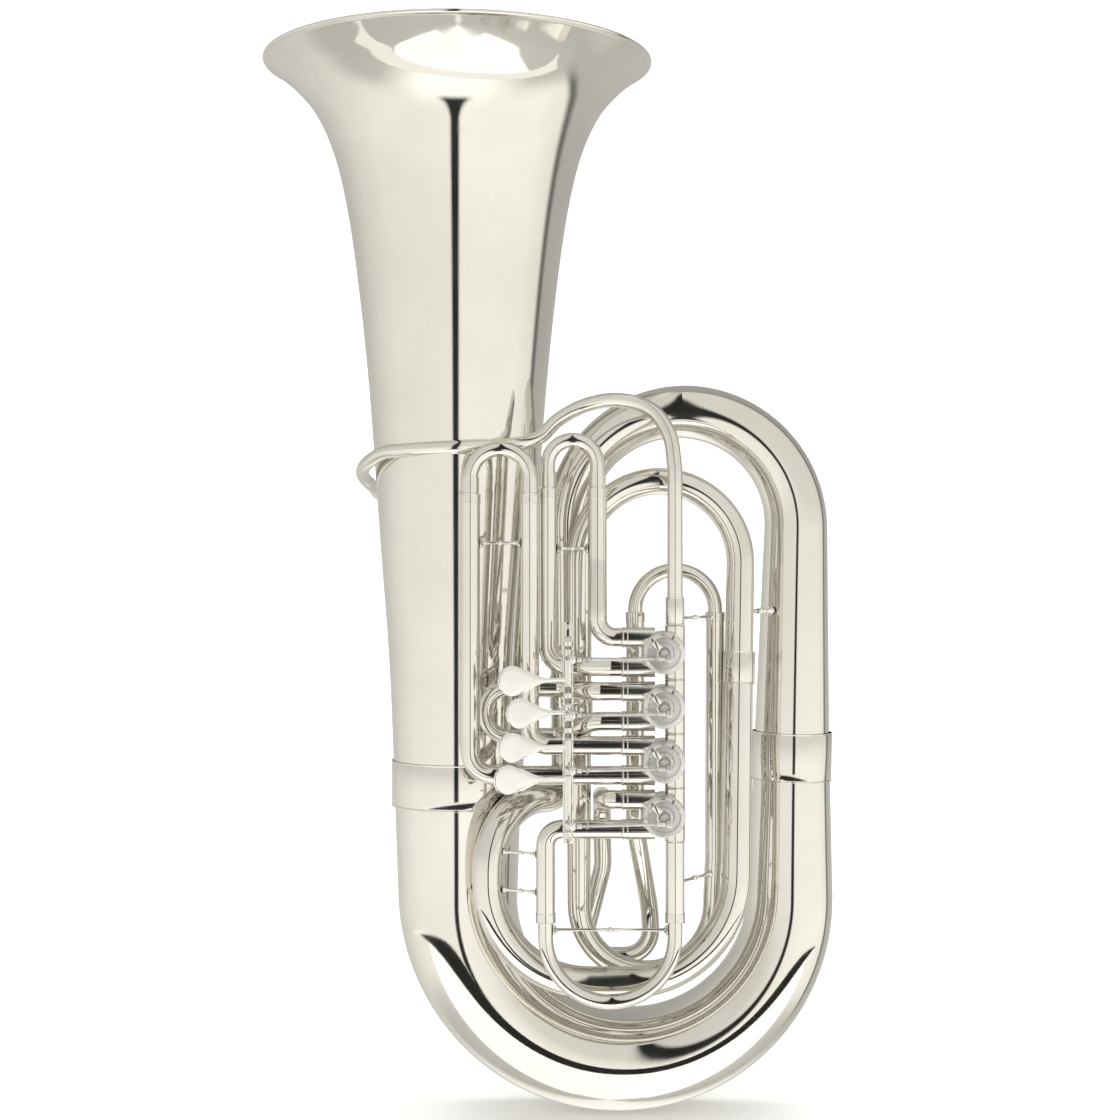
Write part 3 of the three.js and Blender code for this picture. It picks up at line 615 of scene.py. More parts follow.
def card(name, low, high, spread, stops, glow, thinning=0.0, lip=0.0, radius=CARD_RADIUS):
    """A strip curved round the front of the tuba, low down, seen only in reflections.

    spread is half its angle in radians, thinning narrows it towards its ends, and lip brings its
    upper edge inwards.
    """
    verts, faces = [], []
    for k in range(CARD_STEPS + 1):
        share = 2 * k / CARD_STEPS - 1
        turn = spread * share
        thin = max(1 - abs(share), CARD_LEAST) ** thinning
        for z, out in ((high - (high - low) * thin, radius), (high, radius - lip)):
            verts.append(at(out * math.sin(turn), -out * math.cos(turn), z))
    for k in range(CARD_STEPS):
        faces.append((2 * k, 2 * k + 2, 2 * k + 3, 2 * k + 1))
    made_of, tree, shader, place = new_material(name)
    weave = node(tree, "ShaderNodeTexNoise", Scale=40.0, Detail=3.0, Roughness=0.5)
    tree.links.new(place.outputs["Object"], weave.inputs["Vector"])
    colour = ramp(tree, weave.outputs["Fac"], stops)
    tree.links.new(colour.outputs["Color"], shader.inputs["Base Color"])
    tree.links.new(colour.outputs["Color"], shader.inputs["Emission Color"])
    shader.inputs["Emission Strength"].default_value = glow
    shader.inputs["Roughness"].default_value = 1.0
    made = placed(name, verts, faces, made_of)
    made.visible_camera = False
    made.visible_diffuse = False
    made.visible_shadow = False
    made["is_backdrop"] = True


# The dark card gives the bottom bow its dark band, the pale card the white below that, and the shelf
# hides the dark card from the bell's flare.
DARK = [(0.3, (0.012, 0.012, 0.011)), (0.7, (0.03, 0.029, 0.027))]
PALE = [(0.3, (0.84, 0.835, 0.82)), (0.7, (0.88, 0.875, 0.86))]
card("dark_card", -385.0, CARD_TOP_Z, 1.7, DARK, 0.0, thinning=1.1)
card("pale_card", -6000.0, -145.0, 1.2, PALE, 0.95, radius=CARD_RADIUS + 12.0)
card("pale_shelf", CARD_TOP_Z, -64.0, 1.7, PALE, 0.5, lip=228.0)


def softbox(name, centre, target, width, height, watts, tint=(1, 1, 1)):
    """A rectangular light, all in metres, that reflections don't see."""
    data = bpy.data.lights.new(name, "AREA")
    data.shape = "RECTANGLE"
    data.size = width
    data.size_y = height
    data.energy = watts
    data.color = tint
    made = bpy.data.objects.new(name, data)
    made.location = centre
    made.rotation_euler = (Vector(target) - Vector(centre)).to_track_quat("-Z", "Y").to_euler()
    made.visible_camera = False
    made.visible_glossy = False
    bpy.context.scene.collection.objects.link(made)


softbox("softbox_left", (-1.75, -2.05, 1.1), (0.0, 0.0, 0.5), 2.4, 2.4, 26, (1.0, 0.995, 0.98))
softbox("softbox_right", (1.62, -2.05, 1.1), (0.0, 0.0, 0.5), 2.4, 2.4, 22, (1.0, 0.995, 0.98))
softbox("softbox_top", (0.0, -0.2, 3.0), (0.0, 0.0, 0.0), 2.6, 2.2, 30)
softbox("wall_light", (0.0, 0.6, 3.6), (0.0, 3.3, 0.9), 5.0, 1.4, 90)


def studio_world():
    """Bright paper with a dark gap in front that widens low down, a dark line and a grey back."""
    world = bpy.data.worlds.new("studio")
    world.use_nodes = True
    bpy.context.scene.world = world
    sky = world.node_tree
    for old in list(sky.nodes):
        sky.nodes.remove(old)
    space = node(sky, "ShaderNodeTexCoord")
    apart = node(sky, "ShaderNodeSeparateXYZ")
    sky.links.new(space.outputs["Generated"], apart.inputs["Vector"])

    def sums(operation, *values):
        made = node(sky, "ShaderNodeMath", Operation=operation)
        for place, value in enumerate(values):
            if isinstance(value, (int, float)):
                made.inputs[place].default_value = value
            else:
                sky.links.new(value, made.inputs[place])
        return made.outputs["Value"]

    turned = sums("ARCTAN2", apart.outputs["X"], sums("MULTIPLY", apart.outputs["Y"], -1))
    around = sums("MULTIPLY_ADD", turned, 0.5 / math.pi, 0.5)

    def level(bright, warmth=0.07):
        return (bright, bright * (1 - 0.2 * warmth), bright * (1 - warmth))

    def by_degrees(stops):
        return ramp(sky, around, [(0.5 + degrees / 360, level(bright)) for degrees, bright in stops])

    paper = [(-178, 0.52), (-140, 0.62), (-112, 0.76), (-80, 0.88), (-5, 0.93)]
    paper += [(5, 1.0), (80, 1.0), (106, 0.9), (112, 0.14), (115, 0.2), (120, 0.48), (178, 0.52)]
    sides = by_degrees(paper)
    ground = [(-178, 1.25), (-158, 1.2), (-128, 0.62), (-75, 0.7), (-32, 1.45), (32, 1.45)]
    floor = by_degrees(ground + [(75, 0.74), (128, 0.6), (158, 1.2), (178, 1.25)])
    widen = stretched(sky, apart.outputs["Z"], -0.47, -0.6, 1.0, 0.3)
    beside = sums("MULTIPLY", sums("SUBTRACT", around, 0.5), widen.outputs["Result"])
    gap = [(-5, 1.0), (-2.8, 0.03), (2.8, 0.03), (5, 1.0)]
    gap_stops = [(0.5 + degrees / 360, level(bright, 0)) for degrees, bright in gap]
    near = ramp(sky, sums("ADD", beside, 0.5), gap_stops)
    lower = stretched(sky, apart.outputs["Z"], -0.5, -0.72)
    lower.interpolation_type = "SMOOTHSTEP"
    height = sums("MULTIPLY_ADD", apart.outputs["Z"], 0.5, 0.5)
    band = ramp(sky, height, [(0.185, level(0)), (0.2, level(1, 0))])
    tones = [(0.38, 1.22), (0.5, 1.08), (0.6, 0.89), (0.8, 0.86)]
    lift = ramp(sky, height, [(place, level(bright, 0)) for place, bright in tones])

    def mixed(factor, one, two, blend="MIX"):
        made = node(sky, "ShaderNodeMix")
        made.data_type = "RGBA"
        made.blend_type = blend
        if factor is None:
            made.inputs["Factor"].default_value = 1.0
        else:
            sky.links.new(factor, made.inputs["Factor"])
        sky.links.new(one, made.inputs["A"])
        sky.links.new(two, made.inputs["B"])
        return made.outputs["Result"]

    room = mixed(None, sides.outputs["Color"], lift.outputs["Color"], "MULTIPLY")
    room = mixed(lower.outputs["Result"], room, floor.outputs["Color"])
    room = mixed(band.outputs["Color"], room, near.outputs["Color"], "MULTIPLY")
    glow = node(sky, "ShaderNodeBackground", Strength=1.0)
    sky.links.new(room, glow.inputs["Color"])
    result = node(sky, "ShaderNodeOutputWorld")
    sky.links.new(glow.outputs["Background"], result.inputs["Surface"])


studio_world()
bpy.context.scene.view_settings.view_transform = "Standard"

# ---- bell
BELL_OUTLINE = [
    (BELL_END_RADIUS, BELL_END_Z),
    (68.5, 450),
    (77.5, 570),
    (87.5, 710),
    (97.5, 810),
    (108.5, 890),
    (122, 950),
    (141, 994),
    (165, 1023),
    (RIM_RADIUS, RIM_Z),
]


def bell_line(steps):
    """Points along the CAD's spline, as (radius, height)."""
    line = []
    spans = len(BELL_OUTLINE) - 1
    for i in range(spans):
        here, there = BELL_OUTLINE[i], BELL_OUTLINE[i + 1]
        before = BELL_OUTLINE[i - 1] if i else here
        after = BELL_OUTLINE[i + 2] if i + 2 <= spans else there
        for k in range(steps if i < spans - 1 else steps + 1):
            t = k / steps
            point = []
            for c in range(2):
                lead = (there[c] - before[c]) / 2
                tail = (after[c] - here[c]) / 2
                rise = (2 * here[c] - 2 * there[c] + lead + tail) * t ** 3
                rise += (-3 * here[c] + 3 * there[c] - 2 * lead - tail) * t ** 2
                point.append(rise + lead * t + here[c])
            line.append(tuple(point))
    return line


def bell_shape():
    """The flared sheet with its rolled rim."""
    outside = bell_line(14)
    inside = []
    for i, (radius, z) in enumerate(outside):
        r0, z0 = outside[max(i - 1, 0)]
        r1, z1 = outside[min(i + 1, len(outside) - 1)]
        size = math.hypot(r1 - r0, z1 - z0)
        inside.append((radius - WALL * (z1 - z0) / size, z + WALL * (r1 - r0) / size if i else z))
    bead = []
    for k in range(15):
        angle = -math.pi * 0.55 + 1.62 * math.pi * k / 14
        bead.append((RIM_RADIUS + 0.1 + 2.3 * math.cos(angle), RIM_Z + 1.5 + 2.1 * math.sin(angle)))
    outline = outside[:-1] + bead + inside[::-1][1:]
    return lathe(at(BELL_X, 0, 0), UP, outline, 160)


piece("bell_shell", bell_shape(), SILVER, stands_for=("bell",), sharp=60)

bell_low = at(BELL_X, 0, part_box("bell_ferrule")[0][2] / MM)
bell_high = at(BELL_X, 0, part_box("bell_ferrule")[1][2] / MM)
band("bell_foot_band", "bell_ferrule", bell_low, bell_high, inner=64.9, outer=65.8, bead=0.5, sides=128)

# ---- large and inner branches
bow_bend = (BOW_RIGHT_X - BELL_X) / 2
bow_low = BOW_Z - bow_bend
bottom_bow = route(
    [
        (BELL_X, 0, BELL_END_Z - GAP, 0),
        (BELL_X, 0, bow_low, bow_bend),
        (BOW_RIGHT_X, 0, bow_low, bow_bend),
        (BOW_JOINT_X, 0, BOW_JOINT_Z, 0),
    ],
    3.0,
)
bow_shape = tube(bottom_bow, BELL_END_RADIUS, BOW_END_RADIUS, WALL, 96)
piece("bottom_bow_tube", bow_shape, SILVER, stands_for=("bottom_bow",))

top_high = TOP_CENTRE_Z + (OUTER_RIGHT_X - TOP_LEFT_X) / 2
top_bend = (OUTER_RIGHT_X - TOP_LEFT_X) / 2 - 2 * BEND_SLACK
top_bow = route(
    [
        (BOW_JOINT_X, 0, BOW_JOINT_Z + GAP, 0),
        (OUTER_RIGHT_X, 0, top_high, top_bend),
        (TOP_LEFT_X, 0, top_high, top_bend),
        (TOP_LEFT_X, 0, TOP_JOINT_Z, 0),
    ],
    3.0,
)
top_shape = tube(top_bow, BOW_END_RADIUS, TOP_END_RADIUS, WALL, 80)
piece("top_bow_tube", top_shape, SILVER, stands_for=("top_bow",))
bow_low = at(BOW_JOINT_X - 0.5, 0, BOW_JOINT_Z - 24)
bow_high = at(BOW_JOINT_X + 0.6, 0, BOW_JOINT_Z + 24)
band("bow_joint_band", "bow_ferrule", bow_low, bow_high, inner=39.1, outer=39.8, bead=0.45, sides=96)

front_loop = route(
    [
        (TOP_LEFT_X, 0, TOP_JOINT_Z - GAP, 0),
        (TOP_LEFT_X, 0, TOP_JOINT_Z - 28, 60),
        (TOP_LEFT_X, -12.8, LOOP_HIGH_Z, 34),
        (LOOP_LEFT_X, LOOP_Y, LOOP_HIGH_Z, 66),
        (LOOP_LEFT_X, LOOP_Y, LOOP_LOW_Z, 96),
        (115, LOOP_Y, LOOP_LOW_Z, 104),
        (ARCH_START_X, ARCH_START_Y, INNER_JOINT_Z, 0),
    ],
    4.0,
)
loop_shape = tube(front_loop, LOOP_START_RADIUS, ARCH_START_RADIUS, WALL, 56)
piece("front_loop_tube", loop_shape, SILVER, stands_for=("front_loop",))
top_foot_low = at(TOP_LEFT_X, 0, TOP_JOINT_Z - 18)
top_foot_high = at(TOP_LEFT_X, 0, TOP_JOINT_Z + 14)
band("top_bow_foot_band", "top_bow_ferrule", top_foot_low, top_foot_high, 17.4, 17.9, bead=0.35)

arch_bend = (INNER_RIGHT_X - INNER_LEFT_X) / 2 - 2 * BEND_SLACK
inner_arch = route(
    [
        (ARCH_START_X, ARCH_START_Y, INNER_JOINT_Z + 2 * GAP, 0),
        (INNER_RIGHT_X, INNER_Y, INNER_TOP_Z, arch_bend),
        (INNER_LEFT_X, INNER_Y, INNER_TOP_Z, arch_bend),
        (INNER_LEFT_X, INNER_Y, INNER_LEFT_JOINT_Z, 0),
    ],
    4.0,
)
arch_shape = tube(inner_arch, ARCH_START_RADIUS, ARCH_END_RADIUS, WALL, 48)
piece("inner_arch_tube", arch_shape, SILVER, stands_for=("inner_arch",))
joint_low = at(ARCH_START_X - 0.5, ARCH_START_Y - 2.1, INNER_JOINT_Z - 15)
joint_high = at(ARCH_START_X + 0.4, ARCH_START_Y + 1, INNER_JOINT_Z + 16)
band("inner_joint_band", "inner_ferrule", joint_low, joint_high, inner=14.9, outer=15.5, bead=0.35)

inner_bow = route(
    [
        (INNER_LEFT_X, INNER_Y, INNER_LEFT_JOINT_Z - GAP, 0),
        (INNER_LEFT_X, INNER_Y, INNER_BOW_Z, 66),
        (TUNING_RIGHT_X - 4, INNER_Y, INNER_BOW_Z, 66),
        (TUNING_RIGHT_X, INNER_Y, 260, 90),
        (TUNING_RIGHT_X, INNER_Y, TUNING_END_Z, 0),
    ],
    4.0,
)
inner_tube = tube(inner_bow, ARCH_END_RADIUS, SLEEVE_RADIUS, TUBE_WALL, 44)
inner_shape = joined(inner_tube, end_ring(inner_bow[-1][0], UP))
piece("inner_bow_tube", inner_shape, SILVER, stands_for=("inner_bow",))
left_low = at(INNER_LEFT_X, INNER_Y, INNER_LEFT_JOINT_Z - 12)
left_high = at(INNER_LEFT_X, INNER_Y, INNER_LEFT_JOINT_Z + 12)
band("inner_left_band", "inner_bow_ferrule", left_low, left_high, inner=13.0, outer=13.5, bead=0.35)

# ---- leadpipe and receiver
lead_points = [at(-240, 62, LEAD_Z)]
for degrees in range(165, 301, 15):
    angle = math.radians(degrees)
    steep_rise = 32 * (degrees - 150) / 75
    slow_rise = 32 + (degrees - 225) * 0.07
    x = BELL_X + LEAD_RING_RADIUS * math.cos(angle)
    y = LEAD_RING_RADIUS * math.sin(angle)
    lead_points.append(at(x, y, LEAD_Z + (steep_rise if degrees < 225 else slow_rise)))
lead_points += [at(-73, -78, 667), at(-55, -78.5, 684), at(-29, -80, 698), at(2, -85, 703)]
lead_points += [at(34, -96, 693), at(51, -106, 668), at(PORT_X, VALVE_Y, 636)]
leadpipe = smooth_curve(lead_points, 8)
lead_end = VALVE_Z[0] + VALVE_PITCH / 2 + GAP / 2
leadpipe += [(at(PORT_X, VALVE_Y, 612), -UP), (at(PORT_X, VALVE_Y, lead_end), -UP)]
lead_shape = tube(leadpipe, LEAD_START_RADIUS, LEAD_END_RADIUS, TUBE_WALL, 36)
piece("leadpipe_tube", lead_shape, SILVER, stands_for=("leadpipe",))
lead_low = at(PORT_X, VALVE_Y, lead_end + GAP)
lead_high = at(PORT_X, VALVE_Y, LEAD_BAND_TOP_Z)
band("leadpipe_band", "leadpipe_ferrule", lead_low, lead_high, inner=8.0, outer=9.0, bead=0.4, sides=40)

receiver_axis = -leadpipe[0][1]
receiver_start = leadpipe[0][0] + receiver_axis * GAP


def receiver_shape():
    """A turned socket: a stepped collar by the leadpipe, a taper and a heavy lip at the mouth."""
    outline = [(6.2, 0), (8.3, 0), (9.1, 1.0), (9.1, 3.6), (8.3, 4.6), (7.9, 6.2), (8.7, 7.4), (7.9, 8.6)]
    outline += [(7.8, 14), (8.2, 24), (8.7, 30), (8.7, 31.4), (9.4, 32.4), (10.0, 33.8), (10.0, 36.4)]
    outline += [(9.5, 37.6), (8.4, 38.0), (7.2, 37.5), (6.4, 36.0), (6.2, 30), (6.2, 12)]
    return lathe(receiver_start, receiver_axis, outline, 56)


piece("receiver", receiver_shape(), BRIGHT, stands_for=("mouthpiece_receiver",))

# ---- valves
FINGER_TURN = Matrix.Rotation(math.pi / 4, 3, "Y")
PORT_RUN = VALVE_PITCH / 2 - GAP / 2
RIGHT = at(1, 0, 0)


def stub_bands(z):
    """The thin bands round the ports: two on each side port and one on each along the straight run."""
    spots = []
    for offset in (PORT_OFFSET, -PORT_OFFSET):
        for reach in (STUB_REACH - 1.6, STUB_REACH - 5.6):
            spots.append((at(VALVE_X - reach, VALVE_Y, z + offset), RIGHT))
    for edge in (PORT_RUN - 1.0, -PORT_RUN + 1.0):
        spots.append((at(PORT_X, VALVE_Y, z + edge), UP))
    return joined(*[torus(spot, axis, PORT_BAND_RADIUS, 0.5, 36, 8) for spot, axis in spots])


def port(centre, along, across, offset, least, reach):
    """A short pipe beside the drum's axis, whose foot follows the drum's curve."""
    third = along.cross(across)
    sides = 40
    verts, faces = [], []
    rings = [(PORT_RADIUS, None), (PORT_RADIUS, reach - 0.4), (PORT_RADIUS - 0.4, reach)]
    rings += [(PORT_BORE, reach), (PORT_BORE, None)]
    for radius, end in rings:
        for k in range(sides):
            angle = 2 * math.pi * k / sides
            side = offset + radius * math.cos(angle)
            foot = max(math.sqrt(max(DRUM_RADIUS ** 2 - side * side, 0)), least)
            run = foot if end is None else end
            verts.append(centre + along * run + across * side + third * (radius * math.sin(angle)))
    for i in range(len(rings)):
        low, high = i * sides, (i + 1) % len(rings) * sides
        for k in range(sides):
            nxt = (k + 1) % sides
            faces.append((low + k, low + nxt, high + nxt, high + k))
    return verts, faces


def casing_shape(z):
    """The casing's drum with its front cap and rear screw cap."""
    drum = [(4.4, 22.0), (9.2, 22.0), (9.8, 21.2), (14.4, 20.9), (14.9, 21.7), (18.4, 21.7), (19.3, 21.2)]
    drum += [(19.8, 20.2), (19.8, 18.6), (19.2, 18.2), (19.2, 17.2), (19.9, 16.8), (19.9, -13.2)]
    drum += [(19.3, -13.8), (19.3, -14.6), (20.0, -15.0), (20.0, -17.2), (19.4, -18.0), (13.0, -18.0)]
    drum += [(12.4, -17.2), (8.2, -17.2), (7.8, -16.6), (0.01, -16.6), (0.01, -14.6), (16.6, -14.4)]
    drum += [(16.6, 14.4), (4.4, 14.6)]
    return lathe(at(VALVE_X, VALVE_Y, z), FRONT, drum, 72)


def ports_shape(z):
    """The four polished ports: two along the straight run and two for the valve's own slide."""
    centre = at(VALVE_X, VALVE_Y, z)
    shapes = [stub_bands(z)]
    for upward in (UP, -UP):
        shapes.append(port(centre, upward, RIGHT, PORT_X - VALVE_X, 0, PORT_RUN))
        shapes.append(port(centre, -RIGHT, upward, PORT_OFFSET, 8, STUB_REACH))
    return joined(*shapes)


def on_cap(z, degrees, radius, lift):
    """A place on the front cap round the valve's axis, and the heading round the cap there."""
    angle = math.radians(degrees)
    place = at(VALVE_X + radius * math.cos(angle), PLATE_FRONT - lift, z + radius * math.sin(angle))
    return place, at(-math.sin(angle), 0, math.cos(angle))


def stop_plate(z):
    """The cork carrier on the front cap: a curved bracket and two screws."""
    shapes = []
    for degrees in PLATE_SCREW_DEGREES:
        place, _ = on_cap(z, degrees, PLATE_SCREW_RADIUS, 0)
        shapes.append(lathe(place, FRONT, rounded(1.5, -0.4, 0.9, 0.3), 16))
    arc = [on_cap(z, 60 + 75 * k / 16, CORK_RING_RADIUS, 1.6) for k in range(17)]
    shapes.append(tube(arc, 1.7, 1.7, 0.8, 12))
    return joined(*shapes)


def stop_arm_shape(z):
    """Hub with its slotted screw, crank with a ball pin, and the finger that meets the corks."""
    back = PLATE_FRONT - 0.5
    front = PLATE_FRONT - 4.5
    reach = CRANK_RADIUS * math.sqrt(0.5)
    hub = [(4.2, 0.0), (6.9, 0.0), (7.4, 0.5), (7.4, 1.2), (6.6, 1.7), (6.3, 3.2), (5.6, 4.0), (4.2, 4.0)]
    screw = [(0, -1.0), (4.1, -1.0), (4.1, 3.4), (3.8, 4.3), (3.0, 4.9), (1.2, 5.2), (0, 5.2)]
    centre = at(VALVE_X, back, z)
    shapes = [lathe(centre, FRONT, hub, 40), lathe(centre, FRONT, screw, 28)]
    for k in range(3):
        shapes.append(torus(at(VALVE_X, back - 5.0 - 0.1 * k, z), FRONT, 3.2 - 0.95 * k, 0.3, 28, 8))
    pin = at(VALVE_X + reach, back, z - reach)
    stem = [(0, 0), (2.2, 0), (2.2, 2.6), (1.5, 3.4), (1.2, 5.4), (1.2, 7.4), (1.9, 8.2)]
    shapes.append(lathe(pin, FRONT, [*stem, (1.9, 9.2), (0, 9.6)], 24))
    cheek = slab(at(-3.6, -1.6, -2.0), at(3.6, 1.6, 2.0), 0.7, FINGER_TURN)
    middle = at(VALVE_X + reach, (back + front) / 2, z - reach)
    shapes.append(([vert + middle for vert in cheek[0]], cheek[1]))
    finger = slab(at(-5.4, -1.6, -2.8), at(5.4, 1.6, 2.8), 0.8, FINGER_TURN)
    finger_at = at(VALVE_X - 7, (back + front) / 2, z + 7)
    shapes.append(([vert + finger_at for vert in finger[0]], finger[1]))
    return joined(*shapes)


for i, z in enumerate(VALVE_Z):
    number = i + 1
    piece(f"valve_{number}", casing_shape(z), SATIN, stands_for=(f"valve_casing_{number}",))
    piece(f"valve_ports_{number}", ports_shape(z), SILVER)
    piece(f"stop_plate_{number}", stop_plate(z), BRIGHT)
    bumpers = []
    for degrees in CORK_DEGREES:
        spot, heading = on_cap(z, degrees, CORK_RING_RADIUS, 2.4)
        bumpers.append(lathe(spot, heading, rounded(1.9, -1.0, 1.0, 0.5), 18))
    piece(f"bumpers_{number}", joined(*bumpers), CORK)
    piece(f"stop_hub_{number}", stop_arm_shape(z), BRIGHT, f"rotor_{number}", (f"stop_arm_{number}",))
    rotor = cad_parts[f"rotor_{number}"]
    for slot in rotor.material_slots:
        slot.material = SATIN

# ---- sleeves and slides
STUB_X = VALVE_X - STUB_REACH - GAP
BAND_LIFT = 1.0
BAND_LENGTH = 15.0


def leg(name, corners):
    """The outer leg of a slide, from a valve's port to its ringed open end."""
    stations = route(corners)
    shape = tube(stations, SLEEVE_RADIUS, SLEEVE_RADIUS, TUBE_WALL)
    ring = end_ring(stations[-1][0], stations[-1][1])
    piece(name + "_tube", joined(shape, ring), SILVER, stands_for=(name,))


def slide(name, corners, body, banded_at=()):
    """A crook between two inner legs, with a band above each place given."""
    shapes = [tube(route(corners), TUBE_RADIUS, TUBE_RADIUS, TUBE_WALL)]
    for place in banded_at:
        start = place + UP * BAND_LIFT
        shapes.append(ferrule(start, start + UP * BAND_LENGTH, 7.0, 8.1, 0.4, False, 40))
    piece(name + "_tube", joined(*shapes), SILVER, body, (name,))


def upright_slide(name, left, right, y, end_z, far_z, body, banded=False):
    """A slide with upright legs: end_z is where the outer legs end, far_z the level of its corners."""
    bend = (right - left) / 2 - BEND_SLACK
    inside = end_z - math.copysign(SLIDE_INSERT, far_z - end_z)
    corners = [(left, y, inside, 0), (left, y, far_z, bend)]
    corners += [(right, y, far_z, bend), (right, y, inside, 0)]
    slide(name, corners, body, [at(left, y, end_z), at(right, y, end_z)] if banded else ())


def port_level(valve, offset):
    return VALVE_Z[valve - 1] + offset


high, low = port_level(1, PORT_OFFSET), port_level(1, -PORT_OFFSET)
corners = [(STUB_X, VALVE_Y, low, 0), (STUB_X - 12, VALVE_Y, low, 30), (FIRST_LEFT_X, FIRST_Y, low, 20)]
leg("first_sleeve_left", [*corners, (FIRST_LEFT_X, FIRST_Y, FIRST_END_Z, 0)])
corners = [(STUB_X, VALVE_Y, high, 0), (FIRST_RIGHT_X, VALVE_Y, high, 17)]
corners += [(FIRST_RIGHT_X, VALVE_Y, 502, 40), (FIRST_RIGHT_X, FIRST_Y, 546, 40)]
leg("first_sleeve_right", [*corners, (FIRST_RIGHT_X, FIRST_Y, FIRST_END_Z, 0)])
first = (FIRST_LEFT_X, FIRST_RIGHT_X, FIRST_Y, FIRST_END_Z, FIRST_TOP_Z)
upright_slide("first_slide", *first, "first_slide", banded=True)

for side, offset, x, bend in (
    ("left", -PORT_OFFSET, THIRD_LEFT_X, 22),
    ("right", PORT_OFFSET, THIRD_RIGHT_X, 18),
):
    level = port_level(3, offset)
    corners = [(STUB_X, VALVE_Y, level, 0), (x, VALVE_Y, level, bend), (x, VALVE_Y, THIRD_END_Z, 0)]
    leg("third_sleeve_" + side, corners)
third = (THIRD_LEFT_X, THIRD_RIGHT_X, VALVE_Y, THIRD_END_Z, THIRD_TOP_Z)
upright_slide("third_slide", *third, "third_slide", banded=True)

for side, offset, x, z in (
    ("top", PORT_OFFSET, -48, SECOND_TOP_Z),
    ("low", -PORT_OFFSET, -50, SECOND_LOW_Z),
):
    level = port_level(2, offset)
    corners = [(STUB_X, VALVE_Y, level, 0), (-22, VALVE_Y, level, 22), (x, SECOND_Y, z, 22)]
    leg("second_sleeve_" + side, [*corners, (SECOND_END_X, SECOND_Y, z, 0)])
second_bend = (SECOND_TOP_Z - SECOND_LOW_Z) / 2 - BEND_SLACK
inside, crook = SECOND_END_X + SLIDE_INSERT / 2, SECOND_CROOK_X
corners = [(inside, SECOND_Y, SECOND_TOP_Z, 0), (crook, SECOND_Y, SECOND_TOP_Z, second_bend)]
corners += [(crook, SECOND_Y, SECOND_LOW_Z, second_bend), (inside, SECOND_Y, SECOND_LOW_Z, 0)]
slide("second_slide", corners, "second_slide")

low = port_level(4, -PORT_OFFSET)
corners = [(STUB_X, VALVE_Y, low, 0), (FOURTH_LEFT_X, VALVE_Y, low, 15)]
leg("fourth_sleeve_left", [*corners, (FOURTH_LEFT_X, VALVE_Y, FOURTH_END_Z, 0)])
corners = [(PORT_X, VALVE_Y, VALVE_Z[3] - VALVE_PITCH / 2 - GAP, 0), (PORT_X, VALVE_Y, FOURTH_END_Z, 0)]
leg("fourth_sleeve_right", corners)
fourth = (FOURTH_LEFT_X, PORT_X, VALVE_Y, FOURTH_END_Z, FOURTH_BOTTOM_Z)
upright_slide("fourth_slide", *fourth, "fourth_slide")

high = port_level(4, PORT_OFFSET)
corners = [(STUB_X, VALVE_Y, high, 0), (ENTRY_X, VALVE_Y, high, 12), (ENTRY_X, -20, 318, 28)]
corners += [(-10, ENTRY_Y, 246, 50), (-33, ENTRY_Y, ENTRY_LOW_Z, 26), (39, ENTRY_Y, ENTRY_LOW_Z, 26)]
corners += [(36, -16, 206, 60), (TUNING_LEFT_X, INNER_Y, 290, 60)]
leg("tuning_entry", [*corners, (TUNING_LEFT_X, INNER_Y, TUNING_END_Z, 0)])
tuning = (TUNING_LEFT_X, TUNING_RIGHT_X, INNER_Y, TUNING_END_Z, TUNING_TOP_Z)
upright_slide("main_tuning_slide", *tuning, "tuning_slide")

# ---- levers and linkage
rest = math.radians(LEVER_REST_DEG)
TIP_X = HINGE_X + LEVER_ARM * math.sin(rest)
TIP_Y = HINGE_Y - LEVER_ARM * math.cos(rest)


def paddle_shape(i):
    """A teardrop touch: a domed plate lofted from a round pad into a narrow arm."""
    reach = HINGE_X - PADDLE_X[i]
    span = math.hypot(reach, PADDLE_LIFT)
    turn = Matrix.Rotation(math.atan2(PADDLE_LIFT, reach), 3, "Z")
    origin = at(PADDLE_X[i], HINGE_Y - PADDLE_LIFT, PADDLE_Z[i])
    rows = []
    count, across = 40, 12
    for k in range(count + 1):
        x = -PAD_RADIUS + (span + PAD_RADIUS - PADDLE_ARM_HALF) * k / count
        if x < PAD_SHOULDER_X:
            half = math.sqrt(max(PAD_RADIUS ** 2 - x * x, 0.04))
        else:
            left = 1 - min((x - PAD_SHOULDER_X) / (span * 0.62 - PAD_SHOULDER_X), 1.0)
            half = PAD_SHOULDER_HALF * left ** 1.55 + PADDLE_ARM_HALF + left * 0.4 - 0.4 * left ** 3
            half = min(half, PAD_SHOULDER_HALF)
        rows.append((x, half))
    verts, faces = [], []
    for x, half in rows:
        for side in (1, -1):
            for c in range(across + 1):
                z = half * (1 - 2 * c / across) * side
                edge = 1 - (z / half) ** 2
                dish = 0.9 * max(0.0, 1 - (x * x + z * z) / PAD_RADIUS ** 2)
                thick = 1.2 * math.sqrt(max(edge, 0.0)) * min(1.0, half / 3.0) + 0.05
                y = -thick - 1.2 + dish * 0.5 if side > 0 else thick * 0.75 - 1.2
                verts.append(origin + turn @ at(x, y, z))
    ring = 2 * (across + 1)
    for k in range(count):
        for c in range(ring):
            a = k * ring + c
            b = k * ring + (c + 1) % ring
            faces.append((a, b, b + ring, a + ring))
    faces.append(tuple(range(ring)))
    faces.append(tuple(reversed(range(count * ring, (count + 1) * ring))))
    return verts, faces


